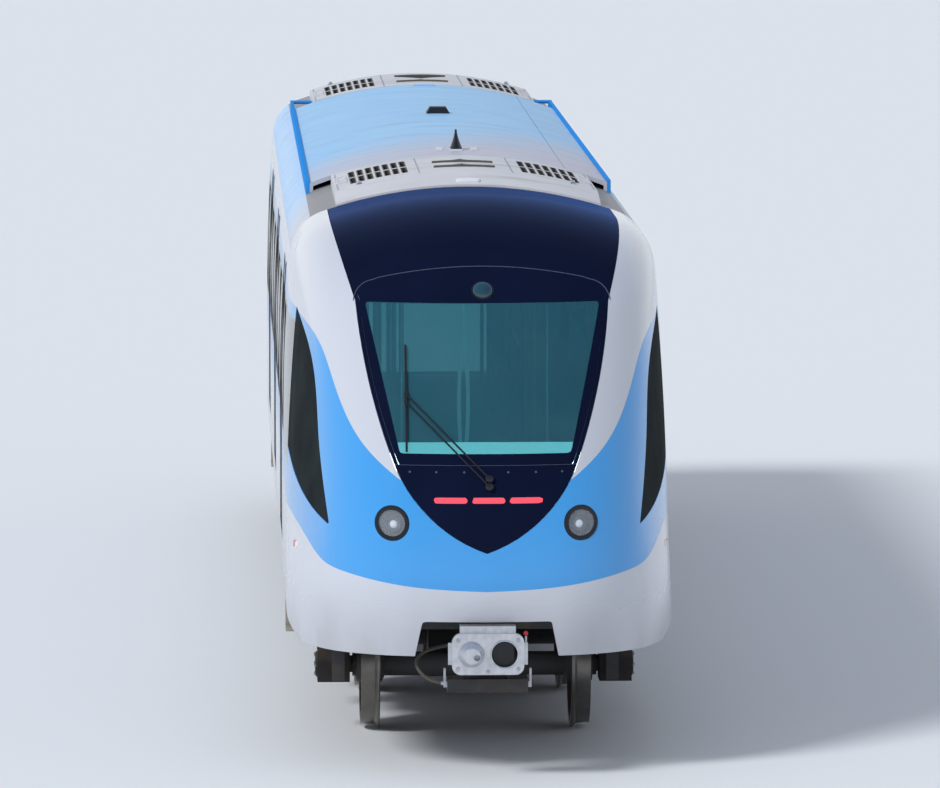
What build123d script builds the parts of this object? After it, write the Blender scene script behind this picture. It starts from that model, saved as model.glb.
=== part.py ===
from build123d import *
import os
from math import cos, hypot, radians, sin, tan

# Front car of a metro train, full size, in millimetres.
# X runs across the car, Y along it with the nose at the -Y end, and Z up.
# Z = 0 is the bottom of the wheel flanges, and the rails' tops would be FLANGE above it.
# A place along the car is written s, the distance behind the tip of the nose.

# Driving dimensions
BODY_LENGTH = 17600
NOSE_LENGTH = 3800
DOME_END = 3000
HALF_WIDTH = 1345
WALL = 60
SEAT = 0.3
# How far a cutting solid reaches past what it cuts, and the least that it does
CUT_REACH, OVERCUT = 300, 1
COUPLER_REACH, CONE_LENGTH = 130, 90
GANGWAY_REACH = 330

FLANGE = 28
WHEEL_RADIUS = 430
GAUGE_FACE = 680
WHEEL_WIDTH = 135
AXLE_RADIUS = 85
JOURNAL_RADIUS = 60
JOURNAL_END = 1080
WHEELBASE = 2100
BOGIE_FRONT = 3700
BOGIE_REAR = 15100

CROWN = 3788
ARCH_FOOT = 768
SKIRT_BOTTOM = 838
# The arc of the tucked lower edge, as distances in from the body's side and heights
TUCK_TOP, TUCK_BULGE, TUCK_FOOT = (-20, 1080), (25, 890), (105, SKIRT_BOTTOM - 10)
SILL = 1062
FLOOR_TOP = 1128
FLOOR_THICK = 38
UNDERFRAME_BOTTOM = 948
CEILING = 3190
FAIRING_TOP = 3870

# The roof arch: radius and turn of each flank, and of the crown
FLANK_RADIUS, FLANK_TURN = 15400, 4.84
CROWN_RADIUS, CROWN_TURN = 3300, 18.88

FRONT_REACH = COUPLER_REACH + CONE_LENGTH
TIP_Y = FRONT_REACH - (FRONT_REACH + BODY_LENGTH + GANGWAY_REACH) / 2
AXLE_Z = FLANGE + WHEEL_RADIUS
END_WALL_S = BODY_LENGTH - WALL
PAST_SIDES = (-HALF_WIDTH - CUT_REACH, HALF_WIDTH + CUT_REACH)


# Nose fittings
FACE_BACK = 1700
WIPER_BLADE_X, WIPER_BLADE_Z, WIPER_GRIP_Z = -537, (2218, 2898), 2560
WIPER_PIVOT = (20, 2010)
WIPER_ARM_LIFTS = (-28, 28)
WIPER_BOSS_RADIUS, WIPER_BLADE_RADIUS, WIPER_ARM_RADIUS = 26, 12, 9
WIPER_TOP, WIPER_UNDER = 26, 8
DOME_S, DOME_Z, DOME_RADIUS = 955, 3268, 70
BEZEL_WIDTH, LENS_THICK, BOWL_DEPTH, BOWL_RING, BOWL_RING_DEPTH = 18, 6, 45, (40, 50), 20
MARKER_S, MARKER_Z, MARKER_SIZE, MARKER_STEP, MARKER_PROUD = 1270, 1480, (70, 44), 84, 8

# Saloon openings
DOOR_PLACES = (5600, 10300, 15000)
DOOR_WIDTH, DOOR_TOP = 1500, 3128
LEAF_GAP = 4
LEAF_WIDTH = (DOOR_WIDTH - 3 * LEAF_GAP) / 2
LEAF_SET, LEAF_THICK = 5, 40
LEAF_GLASS_WIDTH, LEAF_GLASS_HEIGHT, LEAF_GLASS_Z = 470, 900, 2450
LEAF_GLASS_SET = LEAF_SET + 4
PANE_SET, PANE_THICK = 6, 12
WINDOW_WIDTH, WINDOW_HEIGHT, WINDOW_Z, WINDOW_CORNER = 1360, 900, 2450, 90
WINDOW_POST = 160
FRONT_WINDOW_S, FRONT_WINDOW_WIDTH = 4300, 760
REAR_WINDOW_S = 16640

# Inside
NOSE_FLOOR_S, NOSE_CEILING_S = 800, 1500
CEILING_THICK = 20
SHELF_BACK, SHELF_TOP = 1150, 2080
SEAT_ROWS = ((6450, 9450), (11150, 14150), (15850, 17500))
# columns: distance in from the wall, height above the floor
SEAT_SECTION = ((0, 0), (0, 860), (60, 860), (95, 470), (430, 450), (440, 400), (330, 370), (310, 0))
POLE_X, POLE_RADIUS = 520, 17
POLE_PLACES = (2600, 4800, 6400, 9500, 11100, 14200, 15800)

# Roof
FAIRING_FRONT, FAIRING_BACK = 6080, 15340
FAIRING_HALF, FAIRING_EDGE, FAIRING_THICK = 1120, 3660, 25
FAIRING_SEAMS, HATCH_SEAM_X = (6900, 7700, 8700, 10200, 11700, 13200, 14400), 800
SEAM_WIDTH, SEAM_DEPTH = 8, 6
UNIT_GAP = 20
UNIT_HALF, UNIT_TOP_HALF, UNIT_EDGE_DROP = 1010, 960, 150
UNIT_SLOPE, UNIT_LIP = 420, 14
GRILLE_X, GRILLE_COLUMNS, GRILLE_ROWS = 630, 7, 2
SLOT_LENGTH, SLOT_WIDTH, SLOT_STEP, SLOT_FLOOR = 560, 30, (63, 640), 3735
VENT_HALF, VENT_LENGTH, VENT_DEPTH, VENT_STEP = 222, 360, 40, 400
HATCH_X, HATCH_SIZE, HATCH_FRAME, HATCH_LIFT = 900, (76, 620), 14, 10
PAD_SIZE, PAD_LIFT, PAD_BACK = (190, 70), 12, 160
GUTTER_WIDTH, GUTTER_TOP, GUTTER_BACK = 28, 3675, 16300
GUTTER_X = FAIRING_HALF + SEAT
CROSS_BAR_S, CROSS_BAR_Z, CROSS_BAR_RADIUS = 16200, 3668, 16
FIN_S, FIN_LENGTH, FIN_HEIGHT, FIN_THICK, FIN_BASE = 6650, 210, 150, 14, (90, 260)
FIN_BLOCK_X, FIN_BLOCK, FIN_BLOCK_LIFT, BASE_LIFT = 130, (50, 60), 22, 14
AERIAL_S, AERIAL_SIZE, AERIAL_HEIGHT, AERIAL_LEAN = 11300, (190, 200), 50, 30

# Gangway
GANGWAY_HALF, GANGWAY_TOP = 650, 3178
GANGWAY_WALL, GANGWAY_FOLD, GANGWAY_FOLDS, GANGWAY_CORNER = 55, 35, 7, 90

# Underframe
SOLE_INNER, SOLE_OUTER = 1130, 1250
SILL_INNER, SILL_OUTER = 300, 380
SOLE_START = 2000
NOSE_BEAM_S = 700
# columns: inner X, outer X, start, end
BEAMS = (
    (SOLE_INNER, SOLE_OUTER, SOLE_START, END_WALL_S),
    (SILL_INNER, SILL_OUTER, NOSE_BEAM_S, END_WALL_S),
    (700, 800, NOSE_BEAM_S, SOLE_START),
)
# columns: half width, start, end
CROSS_BEAMS = (
    (850, NOSE_BEAM_S, NOSE_BEAM_S + 120),
    (380, 1000, 1300),
    (SOLE_OUTER, SOLE_START, SOLE_START + 120),
    (380, 16500, 16900),
    (SOLE_OUTER, END_WALL_S - 140, END_WALL_S),
)
CROSS_FIRST, CROSS_STEP, CROSS_WIDTH = 4900, 1150, 100
BOLSTER_HALF = 330
POST_RADIUS, POST_BOTTOM, POST_PLAY = 90, 560, 0.5
# columns: start, end, half width, bottom
CASES = (
    (5650, 7500, 1120, 430),
    (7700, 9300, 1120, 470),
    (9500, 11300, 1120, 430),
    (11500, 13100, 1120, 500),
)
CASE_CHAMFER = 60

# Couplers
COUPLER_Z = 878
COUPLER_PIN_S, DRAWBAR_PIN_S = 1100, 16700
POCKET_HALF, POCKET_BACK, POCKET_PLATE, POCKET_WIDTH = 42, 110, 30, 300
PIN_RADIUS, EYE_RADIUS = 35, 90
BAR_HALF, BAR_PLAY = 55, 5
HEAD_BACK, HEAD_WIDTH, HEAD_HEIGHT, HEAD_CORNER = 60, 360, 230, 50
FACE_PLATE, PLATE_WIDTH, PLATE_HEIGHT, PLATE_CORNER = 60, 490, 280, 60
CUP_X, CUP_RADIUS = 112, 90
CONE_BASE, CONE_TIP, CONE_ROUND, NOTCH_SHIFT, NOTCH_RADIUS = 90, 58, 18, 34, 22
HOOD_WIDTH, HOOD_RISE, NOTCH_DROP = 380, 45, 12
TAB_REACH, TAB_HALF, TAB_THICK = 26, 75, 22
HOOK_X, HOOK_Z, HOOK_THICK = (285, 300), (640, 770), 40
TAB_EDGE = PLATE_WIDTH / 2 + TAB_REACH
HANDLE_LENGTH, HANDLE_RADIUS, KNOB_RADIUS = 62, 8, 16
HOSE_RADIUS, HOSE_CASE_S, HOSE_SHANK_S = 11, 95, 470
CASE_LEVELS = (610, 700)
ELECTRIC_HALF, ELECTRIC_FRONT, ELECTRIC_BACK = 275, -70, 150
HANGER_X, HANGER_WIDTH, HANGER_FRONT, HANGER_BACK = 130, 35, -20, 40
DRAW_FLANGE = (300, 220)

# Bogies
FRAME_X, FRAME_WIDTH, FRAME_FILLET = 1010, 140, 45
FRAME_TOP, FRAME_OVER_BOX, FRAME_END = 660, 620, 1300
# columns: distance behind the bogie's centre, height
FRAME_SIDE = (
    (-FRAME_END, FRAME_OVER_BOX),
    (-FRAME_END, FRAME_OVER_BOX + 120),
    (-700, FRAME_OVER_BOX + 120),
    (-430, FRAME_TOP),
    (430, FRAME_TOP),
    (700, FRAME_OVER_BOX + 120),
    (FRAME_END, FRAME_OVER_BOX + 120),
    (FRAME_END, FRAME_OVER_BOX),
    (740, FRAME_OVER_BOX),
    (470, 500),
    (-470, 500),
    (-740, FRAME_OVER_BOX),
)
SPRING_PAD, PAD_HALF, PAD_THICK = (720, 1120), 220, 20
GUARD_X, GUARD_Z, GUARD_THICK = (930, 1020), (370, 720), 25
TRANSOM_S, TRANSOM_Z, TRANSOM_RADIUS = 220, 575, 85
HUB_HALF, HUB_LENGTH, HUB_Z = 220, 620, (500, 660)
BOX_X, BOX_HALF, BOX_DROP = (890, 1120), 130, 115
SPRING_RADII, SPRING_LAYERS = (66, 96), 4
BRAKE_X, BRAKE_Z, BRAKE_CLEAR, BRAKE_LENGTH = (728, 806), (400, 530), 14, 90
BRAKE_ARM_Z, BRAKE_WRAP = (500, 560), 12
JOURNAL_PLAY = 5
AIR_SPRING_X, AIR_SPRING_RADIUS, AIR_SPRING_ROUND, SPRING_PLAY = 920, 230, 60, 5
MOTOR_S, MOTOR_Z, MOTOR_RADIUS, MOTOR_LENGTH = 625, 500, 190, 640
MOTOR_ARM, MOTOR_ARM_HEIGHT = 130, 120
# columns: X range, half length, Z range
SHOE_BLOCKS = (
    ((1080, 1240), 60, (560, 620)),
    ((1240, 1335), 200, (585, 615)),
    ((1285, 1335), 60, (615, 800)),
)
# columns: distance from the middle, radius
WHEEL_SECTION = (
    (640, AXLE_RADIUS),
    (660, 125),
    (726, 140),
    (726, 366),
    (GAUGE_FACE, 372),
    (GAUGE_FACE, WHEEL_RADIUS + FLANGE - 6),
    (GAUGE_FACE + 8, WHEEL_RADIUS + FLANGE),
    (GAUGE_FACE + 20, WHEEL_RADIUS + FLANGE - 3),
    (GAUGE_FACE + 38, WHEEL_RADIUS),
    (GAUGE_FACE + WHEEL_WIDTH, WHEEL_RADIUS - 4),
    (GAUGE_FACE + WHEEL_WIDTH, 372),
    (768, 366),
    (768, 140),
    (840, 125),
    (845, AXLE_RADIUS),
    (870, AXLE_RADIUS),
    (870, JOURNAL_RADIUS),
    (JOURNAL_END, JOURNAL_RADIUS),
)


def at(s):
    """Y of a place s behind the tip of the nose."""
    return TIP_Y + s


def across(s):
    """Plane across the car at s: X to the right, Z up, extruding forwards."""
    return Plane.XZ.offset(-at(s))


def block(x, s, z, mode=Mode.ADD):
    """A box between pairs of limits in X, along the car and in Z."""
    middle = ((x[0] + x[1]) / 2, at((s[0] + s[1]) / 2), (z[0] + z[1]) / 2)
    with Locations(middle):
        Box(x[1] - x[0], s[1] - s[0], z[1] - z[0], mode=mode)


def sides():
    return (-1, 1)


def save(part, name):
    part.label = name
    export_step(part, f"parts/{name}.step")


os.makedirs("parts", exist_ok=True)


# Body section: an arch of flank, corner and crown arcs
def arch_sizes(reach, flank_r, flank_turn, crown_r, crown_turn, inset):
    """Points of the arch, with its wall moved in by inset."""
    a, g = radians(flank_turn), radians(crown_turn)
    half = HALF_WIDTH - inset
    flank_r -= inset
    crown_r -= inset
    reach -= inset
    corner_r = (half - flank_r * (1 - cos(a)) - crown_r * sin(g)) / (cos(a) - sin(g))
    crown_y = reach - crown_r * (1 - cos(g))
    corner_y = crown_y - corner_r * (cos(g) - sin(a))
    return {
        "half": half,
        "flank": corner_y - flank_r * sin(a),
        "corner": (half - flank_r * (1 - cos(a)), corner_y),
        "crown": (crown_r * sin(g), crown_y),
        "top": reach,
        "lean": (sin(a), cos(a)),
    }


def arch_lines(p, lift=0.0):
    """Draw the arch from the left flank's foot over the crown to the right one."""
    corner = (p["corner"][0], p["corner"][1] + lift)
    crown = (p["crown"][0], p["crown"][1] + lift)
    lean = p["lean"]
    flank_lines(p, lift, -1)
    TangentArc((-corner[0], corner[1]), (-crown[0], crown[1]), tangent=lean)
    ThreePointArc((-crown[0], crown[1]), (0, p["top"] + lift), crown)
    TangentArc(corner, crown, tangent=(-lean[0], lean[1]))
    flank_lines(p, lift, 1)


def flank_lines(p, lift, side):
    start = (side * p["half"], p["flank"] + lift)
    TangentArc(start, (side * p["corner"][0], p["corner"][1] + lift), tangent=(0, 1))


SALOON_REACH = CROWN - ARCH_FOOT


def saloon_arch(inset=0.0):
    return arch_sizes(
        SALOON_REACH, FLANK_RADIUS, FLANK_TURN, CROWN_RADIUS, CROWN_TURN, inset
    )


def full_section(inset, bottom):
    """Face of the whole body section above a level, with its wall moved in by inset."""
    p = saloon_arch(inset)
    with BuildSketch(mode=Mode.PRIVATE) as section:
        with BuildLine():
            arch_lines(p, ARCH_FOOT)
            foot = p["flank"] + ARCH_FOOT
            Polyline((-p["half"], foot), (-p["half"], bottom), (p["half"], bottom), (p["half"], foot))
        make_face()
    return section.sketch


# Nose: hoops that fan from the roof down to the skirt, each one arch.
# columns: top s, top z, foot s, foot z, flank radius, flank turn, crown radius, crown turn
HOOPS = (
    (90, 748, 2880, 628, 3200, 20.0, 3000, 9.0),
    (20, 1428, 2915, 673, 3300, 20.0, 3000, 9.0),
    (330, 2278, 2945, 703, 4200, 18.5, 2600, 12.0),
    (960, 3263, 2970, 733, 6800, 13.0, 2800, 15.5),
    (2150, 3728, 2990, 758, 13000, 6.2, 3200, 18.3),
    (DOME_END, CROWN, DOME_END, ARCH_FOOT, FLANK_RADIUS, FLANK_TURN, CROWN_RADIUS, CROWN_TURN),
)


def nose_form(inset):
    """The nose as a solid, its skin moved in by inset and its ends moved out."""
    sections = []
    for top_s, top_z, foot_s, foot_z, flank_r, flank_turn, crown_r, crown_turn in HOOPS:
        foot_z -= inset
        if top_z < SKIRT_BOTTOM:
            top_z -= inset
        run, rise = top_s - foot_s, top_z - foot_z
        reach = hypot(run, rise)
        p = arch_sizes(reach, flank_r, flank_turn, crown_r, crown_turn, inset)
        plane = Plane(
            origin=(0, at(foot_s), foot_z),
            x_dir=(1, 0, 0),
            z_dir=(0, -rise / reach, run / reach),
        )
        with BuildSketch(plane, mode=Mode.PRIVATE) as hoop:
            with BuildLine():
                arch_lines(p)
                Polyline((-p["half"], p["flank"]), (-p["half"], 0), (p["half"], 0), (p["half"], p["flank"]))
            make_face()
        sections.append(hoop.sketch)
    with BuildPart(mode=Mode.PRIVATE) as form:
        loft(sections)
        extrude(sections[-1], amount=-(NOSE_LENGTH - DOME_END + inset))
    return form.part


NOSE_SKIN = nose_form(0)
NOSE_LINING = nose_form(WALL)
NOSE_LINED = nose_form(WALL + SEAT)

GLASS_SET = 8
GLASS_THICK = 12

NOSE_GLASS_OUT = nose_form(GLASS_SET)
NOSE_GLASS_IN = nose_form(GLASS_SET + GLASS_THICK)

# Front view outlines, as X and Z of points in order up the right half
MASK_TIP = 1548
MASK_CHEEK = ((350, 1748), (615, 2098))
MASK_SIDE = ((770, 2578), (875, 3188))
MASK_TOP = (1050, 3700)
GLASS_BOTTOM, GLASS_TOP = 2203, 3188
GLASS_HALF_BOTTOM, GLASS_HALF_TOP = 587, 812
GLASS_CORNER = 90
COUPLER_GAP = ((500, 778), (440, 1078))
LAMP_X, LAMP_Z, LAMP_RADIUS = 645, 1743, 116
BAR_Z, BAR_HEIGHT, BAR_WIDTH = 1898, 38, 230
BAR_PLACES = (-245, 13, 271)
QUARTER_FRONT = ((1070, 1695), (1135, 2260), (1195, 2858), (1270, 3068))
QUARTER_LOWER = ((1190, 1788), (1300, 1968), (1345, 2138))
QUARTER_BACK = 2100


def half_mirror(points):
    """Points up the right half, then down the left half."""
    return list(points) + [(-x, z) for x, z in reversed(points)]


with BuildSketch(mode=Mode.PRIVATE) as mask_outline:
    with BuildLine():
        for side in sides():
            ThreePointArc(
                (0, MASK_TIP),
                (side * MASK_CHEEK[0][0], MASK_CHEEK[0][1]),
                (side * MASK_CHEEK[1][0], MASK_CHEEK[1][1]),
            )
            ThreePointArc(
                (side * MASK_CHEEK[1][0], MASK_CHEEK[1][1]),
                (side * MASK_SIDE[0][0], MASK_SIDE[0][1]),
                (side * MASK_SIDE[1][0], MASK_SIDE[1][1]),
            )
            Polyline(
                (side * MASK_SIDE[1][0], MASK_SIDE[1][1]),
                (side * MASK_TOP[0], MASK_TOP[1]),
                (side * MASK_TOP[0], CROWN + CUT_REACH),
            )
        Line((-MASK_TOP[0], CROWN + CUT_REACH), (MASK_TOP[0], CROWN + CUT_REACH))
    make_face()

with BuildSketch(mode=Mode.PRIVATE) as screen_outline:
    with BuildLine():
        FilletPolyline(
            *half_mirror(((GLASS_HALF_BOTTOM, GLASS_BOTTOM), (GLASS_HALF_TOP, GLASS_TOP))),
            radius=GLASS_CORNER,
            close=True,
        )
    make_face()

with BuildSketch(mode=Mode.PRIVATE) as gap_outline:
    with BuildLine():
        Polyline(*half_mirror(COUPLER_GAP), close=True)
    make_face()

with BuildSketch(mode=Mode.PRIVATE) as quarter_outline:
    for side in sides():
        with BuildLine():
            top = QUARTER_FRONT[-1]
            beyond = HALF_WIDTH + WALL
            Polyline(
                *[(side * x, z) for x, z in QUARTER_FRONT],
                (side * beyond, top[1]),
                (side * beyond, QUARTER_LOWER[-1][1]),
                *[(side * x, z) for x, z in reversed(QUARTER_LOWER)],
                close=True,
            )
        make_face()

with BuildSketch(mode=Mode.PRIVATE) as lamp_outline:
    with Locations((LAMP_X, LAMP_Z), (-LAMP_X, LAMP_Z)):
        Circle(LAMP_RADIUS)

with BuildSketch(mode=Mode.PRIVATE) as bar_outline:
    with Locations(*[(x, BAR_Z) for x in BAR_PLACES]):
        SlotOverall(BAR_WIDTH, BAR_HEIGHT)

FRONT_DEPTH = NOSE_LENGTH + CUT_REACH
FACE_DEPTH = 2300

# What is cut away along each side so that the lower edge of the body tucks in
def tuck_outline(inset):
    """Areas outside the tucked edge, left and right, moved in by inset."""
    with BuildSketch(mode=Mode.PRIVATE) as outline:
        for side in sides():
            top, bulge, foot = (
                (side * (HALF_WIDTH - inward - inset), z) for inward, z in (TUCK_TOP, TUCK_BULGE, TUCK_FOOT)
            )
            beyond, below = side * (HALF_WIDTH + CUT_REACH), SKIRT_BOTTOM - CUT_REACH
            with BuildLine():
                ThreePointArc(top, bulge, foot)
                Polyline(foot, (foot[0], below), (beyond, below), (beyond, top[1]), top)
            make_face()
    return outline.sketch


def skirt_section():
    """Section of the tucked lower edge of the body, left and right."""
    with BuildSketch(mode=Mode.PRIVATE) as section:
        add(tuck_outline(WALL))
        add(tuck_outline(0), mode=Mode.SUBTRACT)
        with Locations((0, (SKIRT_BOTTOM + SILL) / 2)):
            Rectangle(2 * HALF_WIDTH, SILL - SKIRT_BOTTOM, mode=Mode.INTERSECT)
    return section.sketch


with BuildPart(mode=Mode.PRIVATE) as nose_skirt:
    with BuildSketch(across(NOSE_LENGTH)):
        add(skirt_section())
    extrude(amount=NOSE_LENGTH)
    add(NOSE_SKIN, mode=Mode.INTERSECT)

with BuildPart() as nose_shell:
    add(NOSE_SKIN)
    above_skirt = (SKIRT_BOTTOM, CROWN + CUT_REACH)
    block(PAST_SIDES, (-CUT_REACH, NOSE_LENGTH + CUT_REACH), above_skirt, Mode.INTERSECT)
    with BuildSketch(across(NOSE_LENGTH + OVERCUT)):
        add(tuck_outline(0))
    extrude(amount=FRONT_DEPTH, mode=Mode.SUBTRACT)
    add(NOSE_LINING, mode=Mode.SUBTRACT)
    add(nose_skirt.part)
    with BuildSketch(across(NOSE_LENGTH + OVERCUT)):
        add(mask_outline.sketch)
        add(gap_outline.sketch)
        add(lamp_outline.sketch)
    extrude(amount=FRONT_DEPTH, mode=Mode.SUBTRACT)
    with BuildSketch(across(QUARTER_BACK)):
        add(quarter_outline.sketch)
    extrude(amount=FACE_DEPTH, mode=Mode.SUBTRACT)
save(nose_shell.part, "nose_shell")

with BuildPart() as nose_mask:
    with BuildSketch(across(NOSE_LENGTH + OVERCUT)):
        add(mask_outline.sketch)
        add(screen_outline.sketch, mode=Mode.SUBTRACT)
        add(bar_outline.sketch, mode=Mode.SUBTRACT)
    extrude(amount=FRONT_DEPTH)
    add(NOSE_SKIN, mode=Mode.INTERSECT)
    add(NOSE_LINING, mode=Mode.SUBTRACT)
save(nose_mask.part, "nose_mask")


# Pieces set into the nose, each a layer of its skin inside an outline
def skin_layer(outline, outer, inner, start, depth):
    """The layer between two nose forms, inside an outline seen from the front."""
    with BuildPart(mode=Mode.PRIVATE) as layer:
        with BuildSketch(across(start)):
            add(outline)
            offset(amount=-SEAT)
        extrude(amount=depth)
        add(outer, mode=Mode.INTERSECT)
        add(inner, mode=Mode.SUBTRACT)
    return layer.part


with BuildPart() as windscreen:
    add(skin_layer(screen_outline.sketch, NOSE_GLASS_OUT, NOSE_GLASS_IN, FACE_BACK, FACE_DEPTH))
save(windscreen.part, "windscreen")

with BuildPart() as quarter_windows:
    add(
        skin_layer(
            quarter_outline.sketch, NOSE_GLASS_OUT, NOSE_GLASS_IN, QUARTER_BACK - SEAT, FACE_DEPTH
        )
    )
save(quarter_windows.part, "quarter_windows")

def lamp_disc(inset, bore=0):
    """Both headlamp circles, smaller by inset, with a bore through each if it is given."""
    with BuildSketch(mode=Mode.PRIVATE) as disc:
        with Locations((LAMP_X, LAMP_Z), (-LAMP_X, LAMP_Z)):
            Circle(LAMP_RADIUS - inset)
            if bore:
                Circle(bore, mode=Mode.SUBTRACT)
    return disc.sketch


# Headlamps: a cup with a raised ring round its bulb, under a clear lens of its own
NOSE_BOWL = nose_form(BOWL_DEPTH)
with BuildPart() as headlamps:
    bezel = lamp_disc(0, LAMP_RADIUS - BEZEL_WIDTH)
    add(skin_layer(bezel, NOSE_SKIN, NOSE_LINING, FACE_BACK, FACE_DEPTH))
    add(skin_layer(lamp_disc(SEAT), NOSE_BOWL, NOSE_LINING, FACE_BACK, FACE_DEPTH))
    ring = lamp_disc(LAMP_RADIUS - BOWL_RING[1], BOWL_RING[0])
    add(skin_layer(ring, nose_form(BOWL_RING_DEPTH), NOSE_LINING, FACE_BACK, FACE_DEPTH))
save(headlamps.part, "headlamps")

with BuildPart() as lamp_lenses:
    add(skin_layer(lamp_disc(BEZEL_WIDTH), NOSE_SKIN, nose_form(LENS_THICK), FACE_BACK, FACE_DEPTH))
save(lamp_lenses.part, "lamp_lenses")

with BuildPart() as tail_bars:
    add(skin_layer(bar_outline.sketch, NOSE_SKIN, NOSE_LINING, FACE_BACK, FACE_DEPTH))
save(tail_bars.part, "tail_bars")

# Wiper: a blade and two parallel arms that lie just proud of the glass
with BuildSketch(mode=Mode.PRIVATE) as wiper_outline:
    make_hull(
        [Edge.make_circle(WIPER_BLADE_RADIUS, Plane((WIPER_BLADE_X, z, 0))) for z in WIPER_BLADE_Z]
    )
    for lift in WIPER_ARM_LIFTS:
        ends = (
            (WIPER_PIVOT[0], WIPER_PIVOT[1] + lift),
            (WIPER_BLADE_X, WIPER_GRIP_Z + lift),
        )
        make_hull([Edge.make_circle(WIPER_ARM_RADIUS, Plane((x, z, 0))) for x, z in ends])

with BuildSketch(mode=Mode.PRIVATE) as wiper_boss:
    with Locations(WIPER_PIVOT):
        SlotCenterToCenter(2 * max(WIPER_ARM_LIFTS), 2 * WIPER_BOSS_RADIUS, rotation=90)

NOSE_WIPER_OUT = nose_form(-WIPER_TOP)
with BuildPart() as wiper:
    add(skin_layer(wiper_outline.sketch, NOSE_WIPER_OUT, nose_form(-WIPER_UNDER), FACE_BACK, FACE_DEPTH))
    add(skin_layer(wiper_boss.sketch, NOSE_WIPER_OUT, NOSE_SKIN, FACE_BACK, FACE_DEPTH))
save(wiper.part, "wiper")

with BuildPart() as camera_dome:
    with Locations((0, at(DOME_S), DOME_Z)):
        Sphere(DOME_RADIUS)
    add(NOSE_SKIN, mode=Mode.SUBTRACT)
save(camera_dome.part, "camera_dome")

# Marker lamps: a pair of small lenses on each flank, proud of the skin
with BuildPart() as marker_lamps:
    with BuildSketch(Plane.YZ):
        with Locations(*[(at(MARKER_S + end * MARKER_STEP / 2), MARKER_Z) for end in sides()]):
            RectangleRounded(*MARKER_SIZE, MARKER_SIZE[1] / 3)
    extrude(amount=2 * HALF_WIDTH, both=True)
    add(nose_form(-MARKER_PROUD), mode=Mode.INTERSECT)
    add(NOSE_SKIN, mode=Mode.SUBTRACT)
save(marker_lamps.part, "marker_lamps")


# Saloon: side walls, roof and end wall
def flank_x(z, inset):
    """X of the flank at a height, with its wall moved in by inset."""
    p = saloon_arch(inset)
    rise = max(z - ARCH_FOOT - p["flank"], 0)
    radius = FLANK_RADIUS - inset
    return p["half"] - radius + (radius**2 - rise**2) ** 0.5


def wall_strip(side, outer, inner, bottom):
    """Section of a side wall between two insets, from a level up to the cantrail."""
    near, far = saloon_arch(outer), saloon_arch(inner)
    foot = near["flank"] + ARCH_FOOT
    with BuildSketch(mode=Mode.PRIVATE) as strip:
        with BuildLine():
            flank_lines(near, ARCH_FOOT, side)
            flank_lines(far, ARCH_FOOT, side)
            Polyline(
                (side * near["half"], foot),
                (side * near["half"], bottom),
                (side * far["half"], bottom),
                (side * far["half"], foot),
            )
            Line(
                (side * near["corner"][0], near["corner"][1] + ARCH_FOOT),
                (side * far["corner"][0], far["corner"][1] + ARCH_FOOT),
            )
        make_face()
    return strip.sketch


def window_places():
    """Middle of each saloon window along the car, and its width."""
    between = (DOOR_PLACES[1] - DOOR_PLACES[0]) / 2
    step = (WINDOW_WIDTH + WINDOW_POST) / 2
    places = [(FRONT_WINDOW_S, FRONT_WINDOW_WIDTH), (REAR_WINDOW_S, WINDOW_WIDTH)]
    for door in DOOR_PLACES[:-1]:
        places.append((door + between - step, WINDOW_WIDTH))
        places.append((door + between + step, WINDOW_WIDTH))
    return places


def window_outline(gap):
    """The saloon windows seen from the side, each smaller all round by gap."""
    with BuildSketch(Plane.YZ, mode=Mode.PRIVATE) as outline:
        for s, width in window_places():
            with Locations((at(s), WINDOW_Z)):
                RectangleRounded(width - 2 * gap, WINDOW_HEIGHT - 2 * gap, WINDOW_CORNER - gap)
    return outline.sketch


def leaf_places():
    """Middle of each door leaf along the car."""
    shift = (LEAF_WIDTH + LEAF_GAP) / 2
    return [door + end * shift for door in DOOR_PLACES for end in sides()]


def leaf_glass_outline(gap):
    with BuildSketch(Plane.YZ, mode=Mode.PRIVATE) as outline:
        for s in leaf_places():
            with Locations((at(s), LEAF_GLASS_Z)):
                RectangleRounded(
                    LEAF_GLASS_WIDTH - 2 * gap, LEAF_GLASS_HEIGHT - 2 * gap, WINDOW_CORNER - gap
                )
    return outline.sketch


SALOON_LENGTH = END_WALL_S - NOSE_LENGTH
SIDE_NAMES = {-1: "left", 1: "right"}

for side in sides():
    with BuildPart() as side_wall:
        with BuildSketch(across(END_WALL_S)):
            add(wall_strip(side, 0, WALL, SILL))
        extrude(amount=SALOON_LENGTH)
        extrude(window_outline(0), amount=side * 2 * HALF_WIDTH, mode=Mode.SUBTRACT)
        for door in DOOR_PLACES:
            block(
                (side * HALF_WIDTH - CUT_REACH, side * HALF_WIDTH + CUT_REACH),
                (door - DOOR_WIDTH / 2, door + DOOR_WIDTH / 2),
                (FLOOR_TOP, DOOR_TOP),
                Mode.SUBTRACT,
            )
    save(side_wall.part, f"side_wall_{SIDE_NAMES[side]}")

    with BuildPart() as door_leaves:
        with BuildSketch(across(END_WALL_S)):
            add(wall_strip(side, LEAF_SET, LEAF_SET + LEAF_THICK, SILL))
        extrude(amount=SALOON_LENGTH)
        with BuildPart(mode=Mode.INTERSECT):
            for s in leaf_places():
                block(
                    (side * HALF_WIDTH - CUT_REACH, side * HALF_WIDTH + CUT_REACH),
                    (s - LEAF_WIDTH / 2, s + LEAF_WIDTH / 2),
                    (FLOOR_TOP + SEAT, DOOR_TOP - SEAT),
                )
        extrude(leaf_glass_outline(0), amount=side * 2 * HALF_WIDTH, mode=Mode.SUBTRACT)
    save(door_leaves.part, f"door_leaves_{SIDE_NAMES[side]}")

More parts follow.
